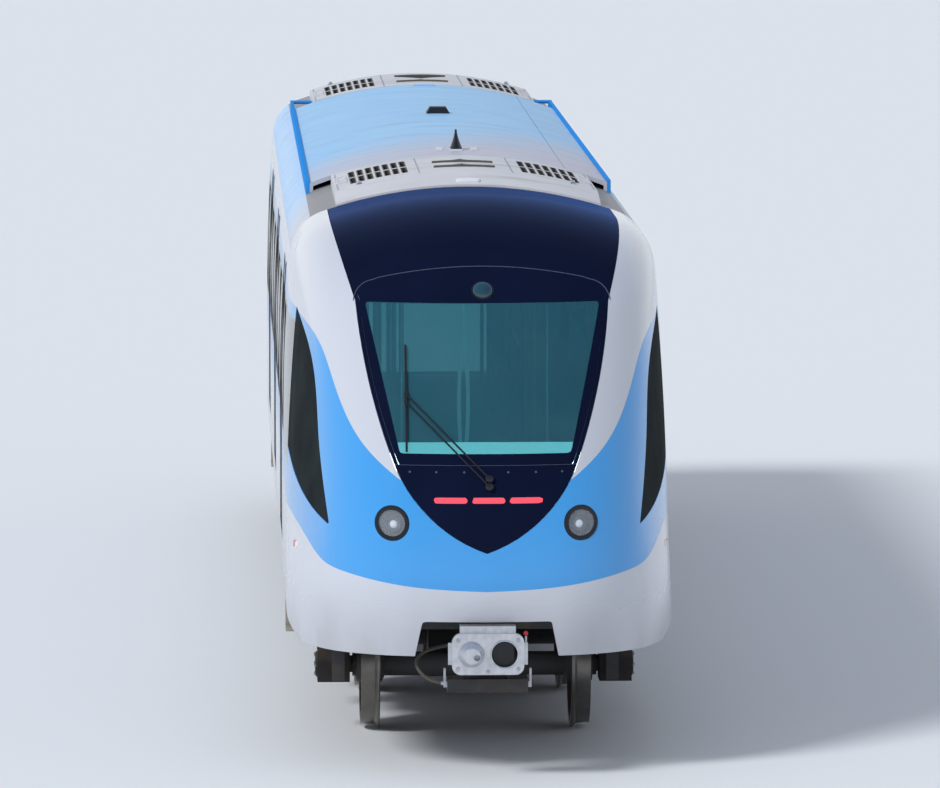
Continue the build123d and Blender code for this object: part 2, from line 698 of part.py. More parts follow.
with BuildPart() as side_windows:
    with BuildSketch(across(END_WALL_S)):
        for side in sides():
            add(wall_strip(side, PANE_SET, PANE_SET + PANE_THICK, SILL))
    extrude(amount=SALOON_LENGTH)
    extrude(window_outline(SEAT), amount=2 * HALF_WIDTH, both=True, mode=Mode.INTERSECT)
save(side_windows.part, "side_windows")

with BuildPart() as door_glass:
    with BuildSketch(across(END_WALL_S)):
        for side in sides():
            add(wall_strip(side, LEAF_GLASS_SET, LEAF_GLASS_SET + PANE_THICK, SILL))
    extrude(amount=SALOON_LENGTH)
    extrude(leaf_glass_outline(SEAT), amount=2 * HALF_WIDTH, both=True, mode=Mode.INTERSECT)
save(door_glass.part, "door_glass")

with BuildPart() as roof_shell:
    with BuildSketch(across(END_WALL_S)):
        add(full_section(0, SILL))
        add(full_section(WALL, SILL), mode=Mode.SUBTRACT)
        for side in sides():
            add(wall_strip(side, -OVERCUT, WALL + OVERCUT, SILL - OVERCUT), mode=Mode.SUBTRACT)
    extrude(amount=SALOON_LENGTH)
save(roof_shell.part, "roof_shell")

with BuildPart() as end_wall:
    with BuildSketch(across(BODY_LENGTH)):
        add(full_section(0, SILL))
        with Locations((0, (FLOOR_TOP + GANGWAY_TOP) / 2)):
            Rectangle(2 * GANGWAY_HALF, GANGWAY_TOP - FLOOR_TOP, mode=Mode.SUBTRACT)
    extrude(amount=WALL)
save(end_wall.part, "end_wall")

with BuildPart() as skirts:
    with BuildSketch(across(END_WALL_S)):
        add(skirt_section())
    extrude(amount=SALOON_LENGTH)
save(skirts.part, "skirts")

# Floor, ceiling and the shelf behind the windscreen
with BuildPart() as floor:
    add(NOSE_LINED)
    block(PAST_SIDES, (NOSE_FLOOR_S, NOSE_LENGTH), (FLOOR_TOP - FLOOR_THICK, FLOOR_TOP), Mode.INTERSECT)
    block(
        (-HALF_WIDTH + WALL + SEAT, HALF_WIDTH - WALL - SEAT),
        (NOSE_LENGTH, END_WALL_S),
        (FLOOR_TOP - FLOOR_THICK, FLOOR_TOP),
    )
save(floor.part, "floor")

with BuildPart() as ceiling:
    add(NOSE_LINED)
    block(PAST_SIDES, (NOSE_CEILING_S, NOSE_LENGTH), (CEILING, CEILING + CEILING_THICK), Mode.INTERSECT)
    reach = flank_x(CEILING + CEILING_THICK, WALL) - SEAT
    block((-reach, reach), (NOSE_LENGTH, END_WALL_S), (CEILING, CEILING + CEILING_THICK))
save(ceiling.part, "ceiling")

with BuildPart() as front_shelf:
    add(NOSE_LINED)
    block(PAST_SIDES, (0, SHELF_BACK), (FLOOR_TOP, SHELF_TOP), Mode.INTERSECT)
save(front_shelf.part, "front_shelf")

with BuildPart() as seats:
    for side in sides():
        for start, end in SEAT_ROWS:
            back = HALF_WIDTH - WALL - SEAT
            with BuildSketch(across(end)):
                with BuildLine():
                    Polyline(
                        *[(side * (back - x), FLOOR_TOP + z) for x, z in SEAT_SECTION],
                        close=True,
                    )
                make_face()
            extrude(amount=end - start)
save(seats.part, "seats")

with BuildPart() as grab_poles:
    for s in POLE_PLACES:
        for side in sides():
            with Locations((side * POLE_X, at(s), (FLOOR_TOP + CEILING) / 2)):
                Cylinder(POLE_RADIUS, CEILING - FLOOR_TOP)
save(grab_poles.part, "grab_poles")

# Roof: fairing, air conditioners, gutters and aerials
def roof_form(lift):
    """All that lies under the fairing's arc, the arc moved up by lift."""
    with BuildPart(mode=Mode.PRIVATE) as form:
        with BuildSketch(across(BODY_LENGTH)):
            with BuildLine():
                half, edge, top = FAIRING_HALF, FAIRING_EDGE + lift, FAIRING_TOP + lift
                ThreePointArc((-half, edge), (0, top), (half, edge))
                Polyline((half, edge), (half, SILL), (-half, SILL), (-half, edge))
            make_face()
        extrude(amount=BODY_LENGTH - NOSE_LENGTH)
    return form.part


def seen_from_above(outline, form, keep):
    """The part of an upright prism that lies inside a form, or outside it if keep is false."""
    with BuildPart(mode=Mode.PRIVATE) as prism:
        with BuildSketch(Plane.XY.offset(SILL)):
            add(outline)
        extrude(amount=FAIRING_TOP + FIN_HEIGHT - SILL)
        add(form, mode=Mode.INTERSECT if keep else Mode.SUBTRACT)
    return prism.part


def plan_boxes(size, places):
    """Rectangles in plan, each with its X and its place along the car."""
    with BuildSketch(mode=Mode.PRIVATE) as plan:
        with Locations(*[(x, at(s)) for x, s in places]):
            Rectangle(*size)
    return plan.sketch


with BuildPart(mode=Mode.PRIVATE) as shell_below:
    with BuildSketch(across(BODY_LENGTH)):
        add(full_section(-SEAT, SILL - CUT_REACH))
    extrude(amount=BODY_LENGTH - NOSE_LENGTH)

FAIRING_MIDDLE, FAIRING_LENGTH = (FAIRING_FRONT + FAIRING_BACK) / 2, FAIRING_BACK - FAIRING_FRONT

with BuildPart() as roof_fairing:
    with BuildSketch(across(FAIRING_BACK)):
        with BuildLine():
            ThreePointArc((-FAIRING_HALF, FAIRING_EDGE), (0, FAIRING_TOP), (FAIRING_HALF, FAIRING_EDGE))
            Polyline(
                (FAIRING_HALF, FAIRING_EDGE),
                (FAIRING_HALF, SILL),
                (-FAIRING_HALF, SILL),
                (-FAIRING_HALF, FAIRING_EDGE),
            )
        make_face()
        with BuildLine():
            half, drop = FAIRING_HALF - FAIRING_THICK, FAIRING_THICK
            ThreePointArc((-half, FAIRING_EDGE - drop), (0, FAIRING_TOP - drop), (half, FAIRING_EDGE - drop))
            Polyline(
                (half, FAIRING_EDGE - drop), (half, SILL), (-half, SILL), (-half, FAIRING_EDGE - drop)
            )
        make_face(mode=Mode.SUBTRACT)
        add(full_section(-SEAT, SILL - CUT_REACH), mode=Mode.SUBTRACT)
    extrude(amount=FAIRING_LENGTH)
    groove_floor = roof_form(-SEAM_DEPTH)
    seams = plan_boxes((2 * FAIRING_HALF, SEAM_WIDTH), [(0, s) for s in FAIRING_SEAMS])
    hatch = plan_boxes((SEAM_WIDTH, FAIRING_LENGTH), [(HATCH_SEAM_X, FAIRING_MIDDLE)])
    for plan in (seams, hatch):
        add(seen_from_above(plan, groove_floor, False), mode=Mode.SUBTRACT)
    pad = plan_boxes(PAD_SIZE, [(0, FAIRING_BACK - PAD_BACK)])
    pad = seen_from_above(pad, roof_form(PAD_LIFT), True)
    add(pad - roof_form(-FAIRING_THICK / 2))
save(roof_fairing.part, "roof_fairing")


def unit_section(s, edge, top):
    """Section of a roof unit at s, from its crown down past the shell."""
    with BuildSketch(across(s), mode=Mode.PRIVATE) as section:
        with BuildLine():
            ThreePointArc((-UNIT_TOP_HALF, edge), (0, top), (UNIT_TOP_HALF, edge))
            Polyline((UNIT_TOP_HALF, edge), (UNIT_HALF, SILL), (-UNIT_HALF, SILL), (-UNIT_TOP_HALF, edge))
        make_face()
    return section.sketch


def unit_side_x(z):
    """X of a roof unit's side at a height."""
    edge = FAIRING_TOP - UNIT_EDGE_DROP
    return UNIT_TOP_HALF + (edge - z) / (edge - SILL) * (UNIT_HALF - UNIT_TOP_HALF)


def crown_z(x):
    """Height of the roof shell's crown at x."""
    return CROWN - CROWN_RADIUS + (CROWN_RADIUS**2 - x**2) ** 0.5


def vent_outline(places):
    """Peaked vents in plan. Each place is its base along the car and where its peak points."""
    with BuildSketch(mode=Mode.PRIVATE) as plan:
        for base, way in places:
            with BuildLine():
                peak = (0, at(base + way * VENT_LENGTH))
                Polyline((-VENT_HALF, at(base)), (VENT_HALF, at(base)), peak, close=True)
            make_face()
    return plan.sketch


# Units: each slopes down at its outer end, with two grilles, two vents and two hatches on top
UNIT_FRONT = NOSE_LENGTH + 2 * UNIT_GAP
UNIT_LENGTH = FAIRING_FRONT - UNIT_GAP - UNIT_FRONT
FRONT_MIDDLE = UNIT_FRONT + UNIT_SLOPE + (UNIT_LENGTH - UNIT_SLOPE) / 2
REAR_MIDDLE = FAIRING_BACK + UNIT_GAP + (UNIT_LENGTH - UNIT_SLOPE) / 2
# columns: name, outer end, way to the inner end, middle of the level part, vents
UNITS = (
    (
        "front",
        UNIT_FRONT,
        1,
        FRONT_MIDDLE,
        ((FRONT_MIDDLE - VENT_STEP, 1), (FRONT_MIDDLE + VENT_STEP / 4, 1)),
    ),
    (
        "rear",
        FAIRING_BACK + UNIT_GAP + UNIT_LENGTH,
        -1,
        REAR_MIDDLE,
        ((REAR_MIDDLE - VENT_STEP, 1), (REAR_MIDDLE + VENT_STEP, -1)),
    ),
)
HATCH_FORM, VENT_FORM = roof_form(HATCH_LIFT), roof_form(-VENT_DEPTH)

for name, outer, way, middle, vents in UNITS:
    with BuildPart() as cooler:
        level = outer + way * UNIT_SLOPE
        lip = unit_section(outer, crown_z(UNIT_TOP_HALF) + UNIT_LIP, CROWN + UNIT_LIP)
        full = unit_section(level, FAIRING_TOP - UNIT_EDGE_DROP, FAIRING_TOP)
        loft([lip, full], ruled=True)
        extrude(full, amount=-way * (UNIT_LENGTH - UNIT_SLOPE))
        add(shell_below.part, mode=Mode.SUBTRACT)
        with BuildSketch(Plane.XY.offset(SLOT_FLOOR)):
            for side in sides():
                with Locations((side * GRILLE_X, at(middle))):
                    with GridLocations(*SLOT_STEP, GRILLE_COLUMNS, GRILLE_ROWS):
                        SlotOverall(SLOT_LENGTH, SLOT_WIDTH, rotation=90)
        extrude(amount=FAIRING_TOP - SLOT_FLOOR, mode=Mode.SUBTRACT)
        add(seen_from_above(vent_outline(vents), VENT_FORM, False), mode=Mode.SUBTRACT)
        hatches = [(side * HATCH_X, middle) for side in sides()]
        frame = plan_boxes(HATCH_SIZE, hatches) - plan_boxes(
            (HATCH_SIZE[0] - 2 * HATCH_FRAME, HATCH_SIZE[1] - 2 * HATCH_FRAME), hatches
        )
        add(seen_from_above(frame, HATCH_FORM, True) - VENT_FORM)
    save(cooler.part, f"air_conditioner_{name}")

# Gutters beside the fairing, each with a bar that crosses to the rear unit
with BuildPart() as gutters:
    with BuildSketch(across(GUTTER_BACK)):
        for side in sides():
            with Locations((side * (GUTTER_X + GUTTER_WIDTH / 2), (SILL + GUTTER_TOP) / 2)):
                Rectangle(GUTTER_WIDTH, GUTTER_TOP - SILL)
        add(full_section(-SEAT, SILL - CUT_REACH), mode=Mode.SUBTRACT)
    extrude(amount=GUTTER_BACK - FAIRING_FRONT)
    inner = unit_side_x(CROSS_BAR_Z - CROSS_BAR_RADIUS) + SEAT
    outer = GUTTER_X + GUTTER_WIDTH
    for side in sides():
        place = (side * (inner + outer) / 2, at(CROSS_BAR_S), CROSS_BAR_Z)
        with Locations(Location(place, (0, 90, 0))):
            Cylinder(CROSS_BAR_RADIUS, outer - inner)
save(gutters.part, "gutters")

# Aerials on the fairing: a fin on a low base between two blocks, and a low tapered one behind
with BuildPart() as roof_aerials:
    base = plan_boxes(FIN_BASE, [(0, FIN_S)])
    add(seen_from_above(base, roof_form(BASE_LIFT), True) - roof_form(SEAT))
    blocks = plan_boxes(FIN_BLOCK, [(side * FIN_BLOCK_X, FIN_S) for side in sides()])
    add(seen_from_above(blocks, roof_form(FIN_BLOCK_LIFT), True) - roof_form(SEAT))
    with BuildSketch(Plane.YZ.offset(-FIN_THICK / 2)):
        with BuildLine():
            foot, tip = FAIRING_TOP + BASE_LIFT / 2, FAIRING_TOP + FIN_HEIGHT
            Polyline(
                (at(FIN_S - FIN_LENGTH / 2), foot),
                (at(FIN_S + FIN_LENGTH / 4), tip),
                (at(FIN_S + FIN_LENGTH / 2), tip),
                (at(FIN_S + FIN_LENGTH / 2), foot),
                close=True,
            )
        make_face()
    extrude(amount=FIN_THICK)
    with BuildSketch(Plane.XY.offset(FAIRING_TOP + SEAT)):
        with Locations((0, at(AERIAL_S))):
            Rectangle(*AERIAL_SIZE)
    extrude(amount=AERIAL_HEIGHT, taper=AERIAL_LEAN)
save(roof_aerials.part, "roof_aerials")

# Gangway at the rear
with BuildPart() as gangway_bellows:
    fold = GANGWAY_REACH / GANGWAY_FOLDS
    for turn in range(GANGWAY_FOLDS):
        swell = GANGWAY_FOLD if turn % 2 else 0
        back = BODY_LENGTH + (turn + 1) * fold
        height = GANGWAY_TOP - FLOOR_TOP
        with BuildSketch(across(back)):
            with Locations((0, FLOOR_TOP + height / 2)):
                RectangleRounded(
                    2 * (GANGWAY_HALF + GANGWAY_WALL + swell),
                    height + 2 * (GANGWAY_WALL + swell),
                    GANGWAY_CORNER,
                )
                Rectangle(2 * GANGWAY_HALF, height, mode=Mode.SUBTRACT)
        extrude(amount=fold)
save(gangway_bellows.part, "gangway_bellows")

# Underframe: sole bars, centre sills, cross members and bolsters with their pivot posts
FLOOR_UNDER = FLOOR_TOP - FLOOR_THICK

with BuildPart() as underframe:
    levels = (UNDERFRAME_BOTTOM, FLOOR_UNDER)
    for side in sides():
        for inner, outer, start, end in BEAMS:
            block(sorted((side * inner, side * outer)), (start, end), levels)
    for half, start, end in CROSS_BEAMS:
        block((-half, half), (start, end), levels)
    member = CROSS_FIRST
    while member < END_WALL_S - CROSS_STEP:
        block((-SOLE_INNER, SOLE_INNER), (member, member + CROSS_WIDTH), levels)
        member += CROSS_STEP
    for s in (BOGIE_FRONT, BOGIE_REAR):
        block((-SOLE_INNER, SOLE_INNER), (s - BOLSTER_HALF, s + BOLSTER_HALF), levels)
        with Locations((0, at(s), (POST_BOTTOM + UNDERFRAME_BOTTOM) / 2)):
            Cylinder(POST_RADIUS, UNDERFRAME_BOTTOM - POST_BOTTOM)
save(underframe.part, "underframe")

with BuildPart() as equipment_cases:
    for start, end, half, bottom in CASES:
        with BuildSketch(across(end)):
            with Locations((0, (bottom + UNDERFRAME_BOTTOM) / 2)):
                Rectangle(2 * half, UNDERFRAME_BOTTOM - bottom)
            chamfer(vertices().group_by(Axis.Z)[0], CASE_CHAMFER)
        extrude(amount=end - start)
save(equipment_cases.part, "equipment_cases")


# Couplers: a pocket under the frame with an upright pin, and a bar that swings on it
def pocket(s, facing):
    """Pocket round the coupler pin at s, open towards facing (-1 front, 1 rear)."""
    closed = sorted((s - facing * POCKET_BACK, s - facing * (POCKET_BACK + POCKET_PLATE)))
    run = sorted((s - facing * (POCKET_BACK + POCKET_PLATE), s + facing * POCKET_BACK))
    low, high = COUPLER_Z - POCKET_HALF, COUPLER_Z + POCKET_HALF
    width = (-POCKET_WIDTH / 2, POCKET_WIDTH / 2)
    block(width, closed, (low, high))
    block(width, run, (high, UNDERFRAME_BOTTOM))
    block(width, run, (low - POCKET_PLATE, low))
    with Locations((0, at(s), COUPLER_Z)):
        Cylinder(PIN_RADIUS, 2 * POCKET_HALF)


def bar(s, end):
    """Coupler bar from its eye on the pin at s to its end."""
    half = POCKET_HALF - BAR_PLAY
    with Locations((0, at(s), COUPLER_Z)):
        Cylinder(EYE_RADIUS, 2 * half)
    block((-BAR_HALF, BAR_HALF), sorted((s, end)), (COUPLER_Z - half, COUPLER_Z + half))
    with Locations((0, at(s), COUPLER_Z)):
        Cylinder(PIN_RADIUS + SEAT, 2 * POCKET_HALF, mode=Mode.SUBTRACT)


with BuildPart() as coupler_pockets:
    pocket(COUPLER_PIN_S, -1)
    pocket(DRAWBAR_PIN_S, 1)
save(coupler_pockets.part, "coupler_pockets")

with BuildPart() as coupler_shank:
    bar(COUPLER_PIN_S, HEAD_BACK)
save(coupler_shank.part, "coupler_shank")

with BuildPart() as coupler_head:
    with BuildSketch(across(HEAD_BACK)):
        with Locations((0, COUPLER_Z)):
            RectangleRounded(HEAD_WIDTH, HEAD_HEIGHT, HEAD_CORNER)
    extrude(amount=HEAD_BACK + COUPLER_REACH - FACE_PLATE)
    with BuildSketch(across(FACE_PLATE - COUPLER_REACH)):
        with Locations((0, COUPLER_Z)):
            RectangleRounded(PLATE_WIDTH, PLATE_HEIGHT, PLATE_CORNER)
        with Locations((CUP_X, COUPLER_Z)):
            Circle(CUP_RADIUS, mode=Mode.SUBTRACT)
    extrude(amount=FACE_PLATE)
    plate_back = FACE_PLATE - COUPLER_REACH
    plate_top = COUPLER_Z + PLATE_HEIGHT / 2
    hood = (COUPLER_Z + HEAD_HEIGHT / 2, plate_top + HOOD_RISE)
    block((-HOOD_WIDTH / 2, HOOD_WIDTH / 2), (plate_back, HEAD_BACK), hood)
    for side in sides():
        x = sorted((side * (PLATE_WIDTH / 2 - TAB_REACH), side * TAB_EDGE))
        block(x, (plate_back - TAB_THICK, plate_back), (COUPLER_Z - TAB_HALF, COUPLER_Z + TAB_HALF))
    cone_middle = at(-COUPLER_REACH - CONE_LENGTH / 2)
    with Locations(Location((-CUP_X, cone_middle, COUPLER_Z), (90, 0, 0))):
        Cone(CONE_BASE, CONE_TIP, CONE_LENGTH)
    fillet(edges().group_by(Axis.Y)[0], CONE_ROUND)
    with Locations(Location((NOTCH_SHIFT - CUP_X, cone_middle, COUPLER_Z - NOTCH_DROP), (90, 0, 0))):
        Cylinder(NOTCH_RADIUS, CONE_LENGTH, mode=Mode.SUBTRACT)
save(coupler_head.part, "coupler_head")

# Latches: a hook on each side of the case, and the release handle on the right tab
with BuildPart() as coupler_latches:
    for side in sides():
        block(sorted((side * HOOK_X[0], side * HOOK_X[1])), (-HOOK_THICK / 2, HOOK_THICK / 2), HOOK_Z)
        foot = sorted((side * (ELECTRIC_HALF + SEAT), side * HOOK_X[1]))
        block(foot, (-HOOK_THICK / 2, HOOK_THICK / 2), (HOOK_Z[0], HOOK_Z[0] + HOOK_THICK))
    handle_x = TAB_EDGE - TAB_REACH / 2
    handle_y = at(plate_back - TAB_THICK / 2)
    handle_foot = COUPLER_Z + TAB_HALF + SEAT
    with Locations((handle_x, handle_y, handle_foot + HANDLE_LENGTH / 2)):
        Cylinder(HANDLE_RADIUS, HANDLE_LENGTH)
    with Locations((handle_x, handle_y, handle_foot + HANDLE_LENGTH)):
        Sphere(KNOB_RADIUS)
save(coupler_latches.part, "coupler_latches")

# Air hose held at both ends: out of the case's left side, round beside the head, back to the shank
HOSE_POINTS = (
    (-ELECTRIC_HALF - SEAT, HOSE_CASE_S, 655),
    (-350, HOSE_CASE_S, 655),
    (-445, 120, 705),
    (-492, 205, 785),
    (-440, 320, 838),
    (-310, 415, 866),
    (-150, HOSE_SHANK_S, COUPLER_Z),
    (-BAR_HALF - SEAT, HOSE_SHANK_S, COUPLER_Z),
)


def bend_radii(points):
    """Arc radius at each corner: 0.45 of its shorter run over the tangent of half its turn."""
    radii = []
    for before, corner, after in zip(points, points[1:], points[2:]):
        come, leave = Vector(*corner) - Vector(*before), Vector(*after) - Vector(*corner)
        half_turn = radians(come.get_angle(leave)) / 2
        radii.append(0.45 * min(come.length, leave.length) / tan(half_turn))
    return radii


with BuildPart() as coupler_hose:
    with BuildLine() as route:
        hose_bends = bend_radii(HOSE_POINTS)
        FilletPolyline(*[(x, at(s), z) for x, s, z in HOSE_POINTS], radius=hose_bends)
    with BuildSketch(Plane(origin=route.line @ 0, z_dir=route.line % 0)):
        Circle(HOSE_RADIUS)
    sweep(path=route.line)
print("hose bends", [round(r) for r in hose_bends])
save(coupler_hose.part, "coupler_hose")

with BuildPart() as coupler_case:
    low, high = CASE_LEVELS
    block((-ELECTRIC_HALF, ELECTRIC_HALF), (ELECTRIC_FRONT, ELECTRIC_BACK), (low, high))
    for side in sides():
        x = sorted((side * HANGER_X, side * (HANGER_X + HANGER_WIDTH)))
        block(x, (HANGER_FRONT, HANGER_BACK), (high, COUPLER_Z - HEAD_HEIGHT / 2))
save(coupler_case.part, "coupler_case")

with BuildPart() as drawbar:
    bar(DRAWBAR_PIN_S, BODY_LENGTH + GANGWAY_REACH - FACE_PLATE)
    with BuildSketch(across(BODY_LENGTH + GANGWAY_REACH)):
        with Locations((0, COUPLER_Z)):
            RectangleRounded(DRAW_FLANGE[0], DRAW_FLANGE[1], PLATE_CORNER / 2)
    extrude(amount=FACE_PLATE)
save(drawbar.part, "drawbar")


# Bogies
def side_view(x):
    """Plane facing right at x, with the car's length as its X and height as its Y."""
    return Plane.YZ.offset(x)


for name, centre in (("front", BOGIE_FRONT), ("rear", BOGIE_REAR)):
    with BuildPart() as bogie_frame:
        for side in sides():
            with BuildSketch(side_view(side * FRAME_X - FRAME_WIDTH / 2)):
                with BuildLine():
                    FilletPolyline(
                        *[(at(centre + s), z) for s, z in FRAME_SIDE],
                        radius=FRAME_FILLET,
                        close=True,
                    )
                make_face()
            extrude(amount=FRAME_WIDTH)
            x = sorted((side * SPRING_PAD[0], side * SPRING_PAD[1]))
            block(x, (centre - PAD_HALF, centre + PAD_HALF), (FRAME_TOP - PAD_THICK, FRAME_TOP))
            for end in sides():
                s = sorted((centre + end * FRAME_END, centre + end * (FRAME_END + GUARD_THICK)))
                x = sorted((side * GUARD_X[0], side * GUARD_X[1]))
                block(x, s, GUARD_Z)
        for end in sides():
            with Locations(Location((0, at(centre + end * TRANSOM_S), TRANSOM_Z), (0, 90, 0))):
                Cylinder(TRANSOM_RADIUS, 2 * FRAME_X)
        block((-HUB_HALF, HUB_HALF), (centre - HUB_LENGTH / 2, centre + HUB_LENGTH / 2), HUB_Z)
        with Locations((0, at(centre), (HUB_Z[0] + HUB_Z[1]) / 2)):
            Cylinder(POST_RADIUS + POST_PLAY, 2 * (HUB_Z[1] - HUB_Z[0]), mode=Mode.SUBTRACT)
    save(bogie_frame.part, f"bogie_frame_{name}")

    with BuildPart() as axle_boxes:
        for end in sides():
            for side in sides():
                axle = centre + end * WHEELBASE / 2
                x = sorted((side * BOX_X[0], side * BOX_X[1]))
                block(x, (axle - BOX_HALF, axle + BOX_HALF), (AXLE_Z - BOX_DROP, AXLE_Z + BOX_DROP))
                spring = (AXLE_Z + BOX_DROP, FRAME_OVER_BOX)
                layer = (spring[1] - spring[0]) / SPRING_LAYERS
                for number in range(SPRING_LAYERS):
                    taper = number / (SPRING_LAYERS - 1) * (SPRING_RADII[1] - SPRING_RADII[0])
                    with Locations((side * FRAME_X, at(axle), spring[0] + (number + 0.5) * layer)):
                        Cylinder(SPRING_RADII[1] - taper, layer)
                bore = JOURNAL_END + JOURNAL_PLAY - BOX_X[0]
                middle = (side * (BOX_X[0] + bore / 2), at(axle), AXLE_Z)
                with Locations(Location(middle, (0, 90, 0))):
                    Cylinder(JOURNAL_RADIUS + SEAT, bore, mode=Mode.SUBTRACT)
    save(axle_boxes.part, f"axle_boxes_{name}")

    with BuildPart() as air_springs:
        for side in sides():
            low, high = FRAME_TOP, UNDERFRAME_BOTTOM - SPRING_PLAY
            with Locations((side * AIR_SPRING_X, at(centre), (low + high) / 2)):
                Cylinder(AIR_SPRING_RADIUS, high - low)
            fillet(faces().filter_by(GeomType.CYLINDER).edges(), AIR_SPRING_ROUND)
    save(air_springs.part, f"air_springs_{name}")

    with BuildPart() as motors:
        for end in sides():
            place = (0, at(centre + end * MOTOR_S), MOTOR_Z)
            with Locations(Location(place, (0, 90, 0))):
                Cylinder(MOTOR_RADIUS, MOTOR_LENGTH)
            s = sorted((centre + end * HUB_LENGTH / 2, centre + end * MOTOR_S))
            block((-MOTOR_ARM, MOTOR_ARM), s, (HUB_Z[0], HUB_Z[0] + MOTOR_ARM_HEIGHT))
    save(motors.part, f"motors_{name}")

    with BuildPart() as brake_units:
        for end in sides():
            axle = centre + end * WHEELBASE / 2
            tread = WHEEL_RADIUS + BRAKE_CLEAR
            back = axle - end * (tread + BRAKE_LENGTH)
            for side in sides():
                x = sorted((side * BRAKE_X[0], side * BRAKE_X[1]))
                block(x, sorted((axle - end * tread * cos(radians(BRAKE_WRAP)), back)), BRAKE_Z)
                block(x, sorted((back, centre + end * TRANSOM_S)), BRAKE_ARM_Z)
            with Locations(Location((0, at(axle), AXLE_Z), (0, 90, 0))):
                Cylinder(tread, 2 * FRAME_X, mode=Mode.SUBTRACT)
            with Locations(Location((0, at(centre + end * TRANSOM_S), TRANSOM_Z), (0, 90, 0))):
                Cylinder(TRANSOM_RADIUS + SEAT, 2 * FRAME_X, mode=Mode.SUBTRACT)
    save(brake_units.part, f"brake_units_{name}")

    with BuildPart() as collector_shoes:
        for side in sides():
            for x, half, z in SHOE_BLOCKS:
                x = sorted((side * x[0], side * x[1]))
                block(x, (centre - half, centre + half), z)
    save(collector_shoes.part, f"collector_shoes_{name}")

    for end in sides():
        axle = centre + end * WHEELBASE / 2
        with BuildPart() as wheelset:
            plane = Plane(origin=(0, at(axle), AXLE_Z), x_dir=(1, 0, 0), z_dir=(0, -1, 0))
            with BuildSketch(plane):
                with BuildLine():
                    Polyline(
                        *[(-x, r) for x, r in reversed(WHEEL_SECTION)],
                        *WHEEL_SECTION,
                        (JOURNAL_END, 0),
                        (-JOURNAL_END, 0),
                        close=True,
                    )
                make_face()
            revolve(axis=Axis((0, at(axle), AXLE_Z), (1, 0, 0)))
        number = (1 if name == "front" else 3) + (end + 1) // 2
        save(wheelset.part, f"wheelset_{number}")
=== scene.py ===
# %% [markdown]
# # The front car of a metro train
#
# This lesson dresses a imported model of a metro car. The frame holds every solid at its real
# size and place, in metres, with the nose towards -Y and Z up. The lesson adds what the solids
# leave plain: the moulded nose with its paint, the glass, the roof units' edges, the seals and
# the finish of each surface.

import bpy
import numpy as np
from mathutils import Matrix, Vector


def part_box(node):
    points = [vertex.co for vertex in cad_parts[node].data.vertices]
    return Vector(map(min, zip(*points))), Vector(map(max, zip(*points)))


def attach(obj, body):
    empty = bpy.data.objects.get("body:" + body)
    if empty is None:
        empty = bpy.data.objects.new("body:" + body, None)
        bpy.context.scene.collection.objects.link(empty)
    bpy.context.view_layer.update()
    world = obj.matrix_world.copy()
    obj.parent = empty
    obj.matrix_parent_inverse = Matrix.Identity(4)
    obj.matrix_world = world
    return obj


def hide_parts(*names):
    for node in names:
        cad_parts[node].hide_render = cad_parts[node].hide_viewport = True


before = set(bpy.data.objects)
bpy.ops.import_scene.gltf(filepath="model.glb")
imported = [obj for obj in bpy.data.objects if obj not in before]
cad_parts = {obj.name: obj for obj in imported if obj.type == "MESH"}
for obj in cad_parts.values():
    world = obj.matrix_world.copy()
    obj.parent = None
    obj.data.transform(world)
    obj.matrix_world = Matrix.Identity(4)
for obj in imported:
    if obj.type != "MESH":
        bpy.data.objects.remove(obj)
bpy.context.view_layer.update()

# %% [markdown]
# ## Sizes
#
# The car is measured from its own frame. Along the car every place is written s, the distance
# behind the tip of the nose, and the tip lies one body length ahead of the rear end wall.

# %% Sizes
BODY_LENGTH = 17.6
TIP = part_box("end_wall")[1].y - BODY_LENGTH
HALF_WIDTH = 1.345
NOSE_LENGTH = 3.8
SKIRT_BOTTOM = 0.838
BODY = "carbody"
print("nose tip at Y", round(TIP, 3), "saloon starts", round(TIP + NOSE_LENGTH, 3))

# %% [markdown]
# ## Shapes as arrays
#
# A shape here is a pair: its points, and a list of face arrays. Most come from a grid of points
# worked out with numpy. Joining shapes means stacking their points and shifting the numbers of
# the later faces, so one Blender mesh can hold hundreds of like pieces.


# %% Shapes
def join(*shapes):
    """One shape of several: points stacked, and each shape's face numbers moved past the last."""
    points, faces, start = [], [], 0
    for shape_points, shape_faces in shapes:
        points.append(shape_points)
        faces += [rows + start for rows in shape_faces]
        start += len(shape_points)
    return np.concatenate(points), faces


def grid_faces(rows, columns, wrap=False):
    """Faces of a grid of points, row by row. With wrap, the last column joins the first."""
    row, column = np.meshgrid(np.arange(rows - 1), np.arange(columns if wrap else columns - 1))
    row, column = row.T.ravel(), column.T.ravel()
    beside = (column + 1) % columns
    low, high = row * columns, (row + 1) * columns
    return np.stack((low + column, low + beside, high + beside, high + column), 1)


def facing_out(points, faces):
    """A closed shape with its faces turned outwards. The volume inside is a sixth of the sum,
    over the triangles of its faces, of one corner's dot product with the cross product of the
    other two. It is positive when the faces look outwards."""
    volume = 0
    for rows in faces:
        for k in range(1, rows.shape[1] - 1):
            a, b, c = (points[rows[:, corner]] for corner in (0, k, k + 1))
            volume += (a * np.cross(b, c)).sum()
    return points, faces if volume > 0 else [rows[:, ::-1] for rows in faces]


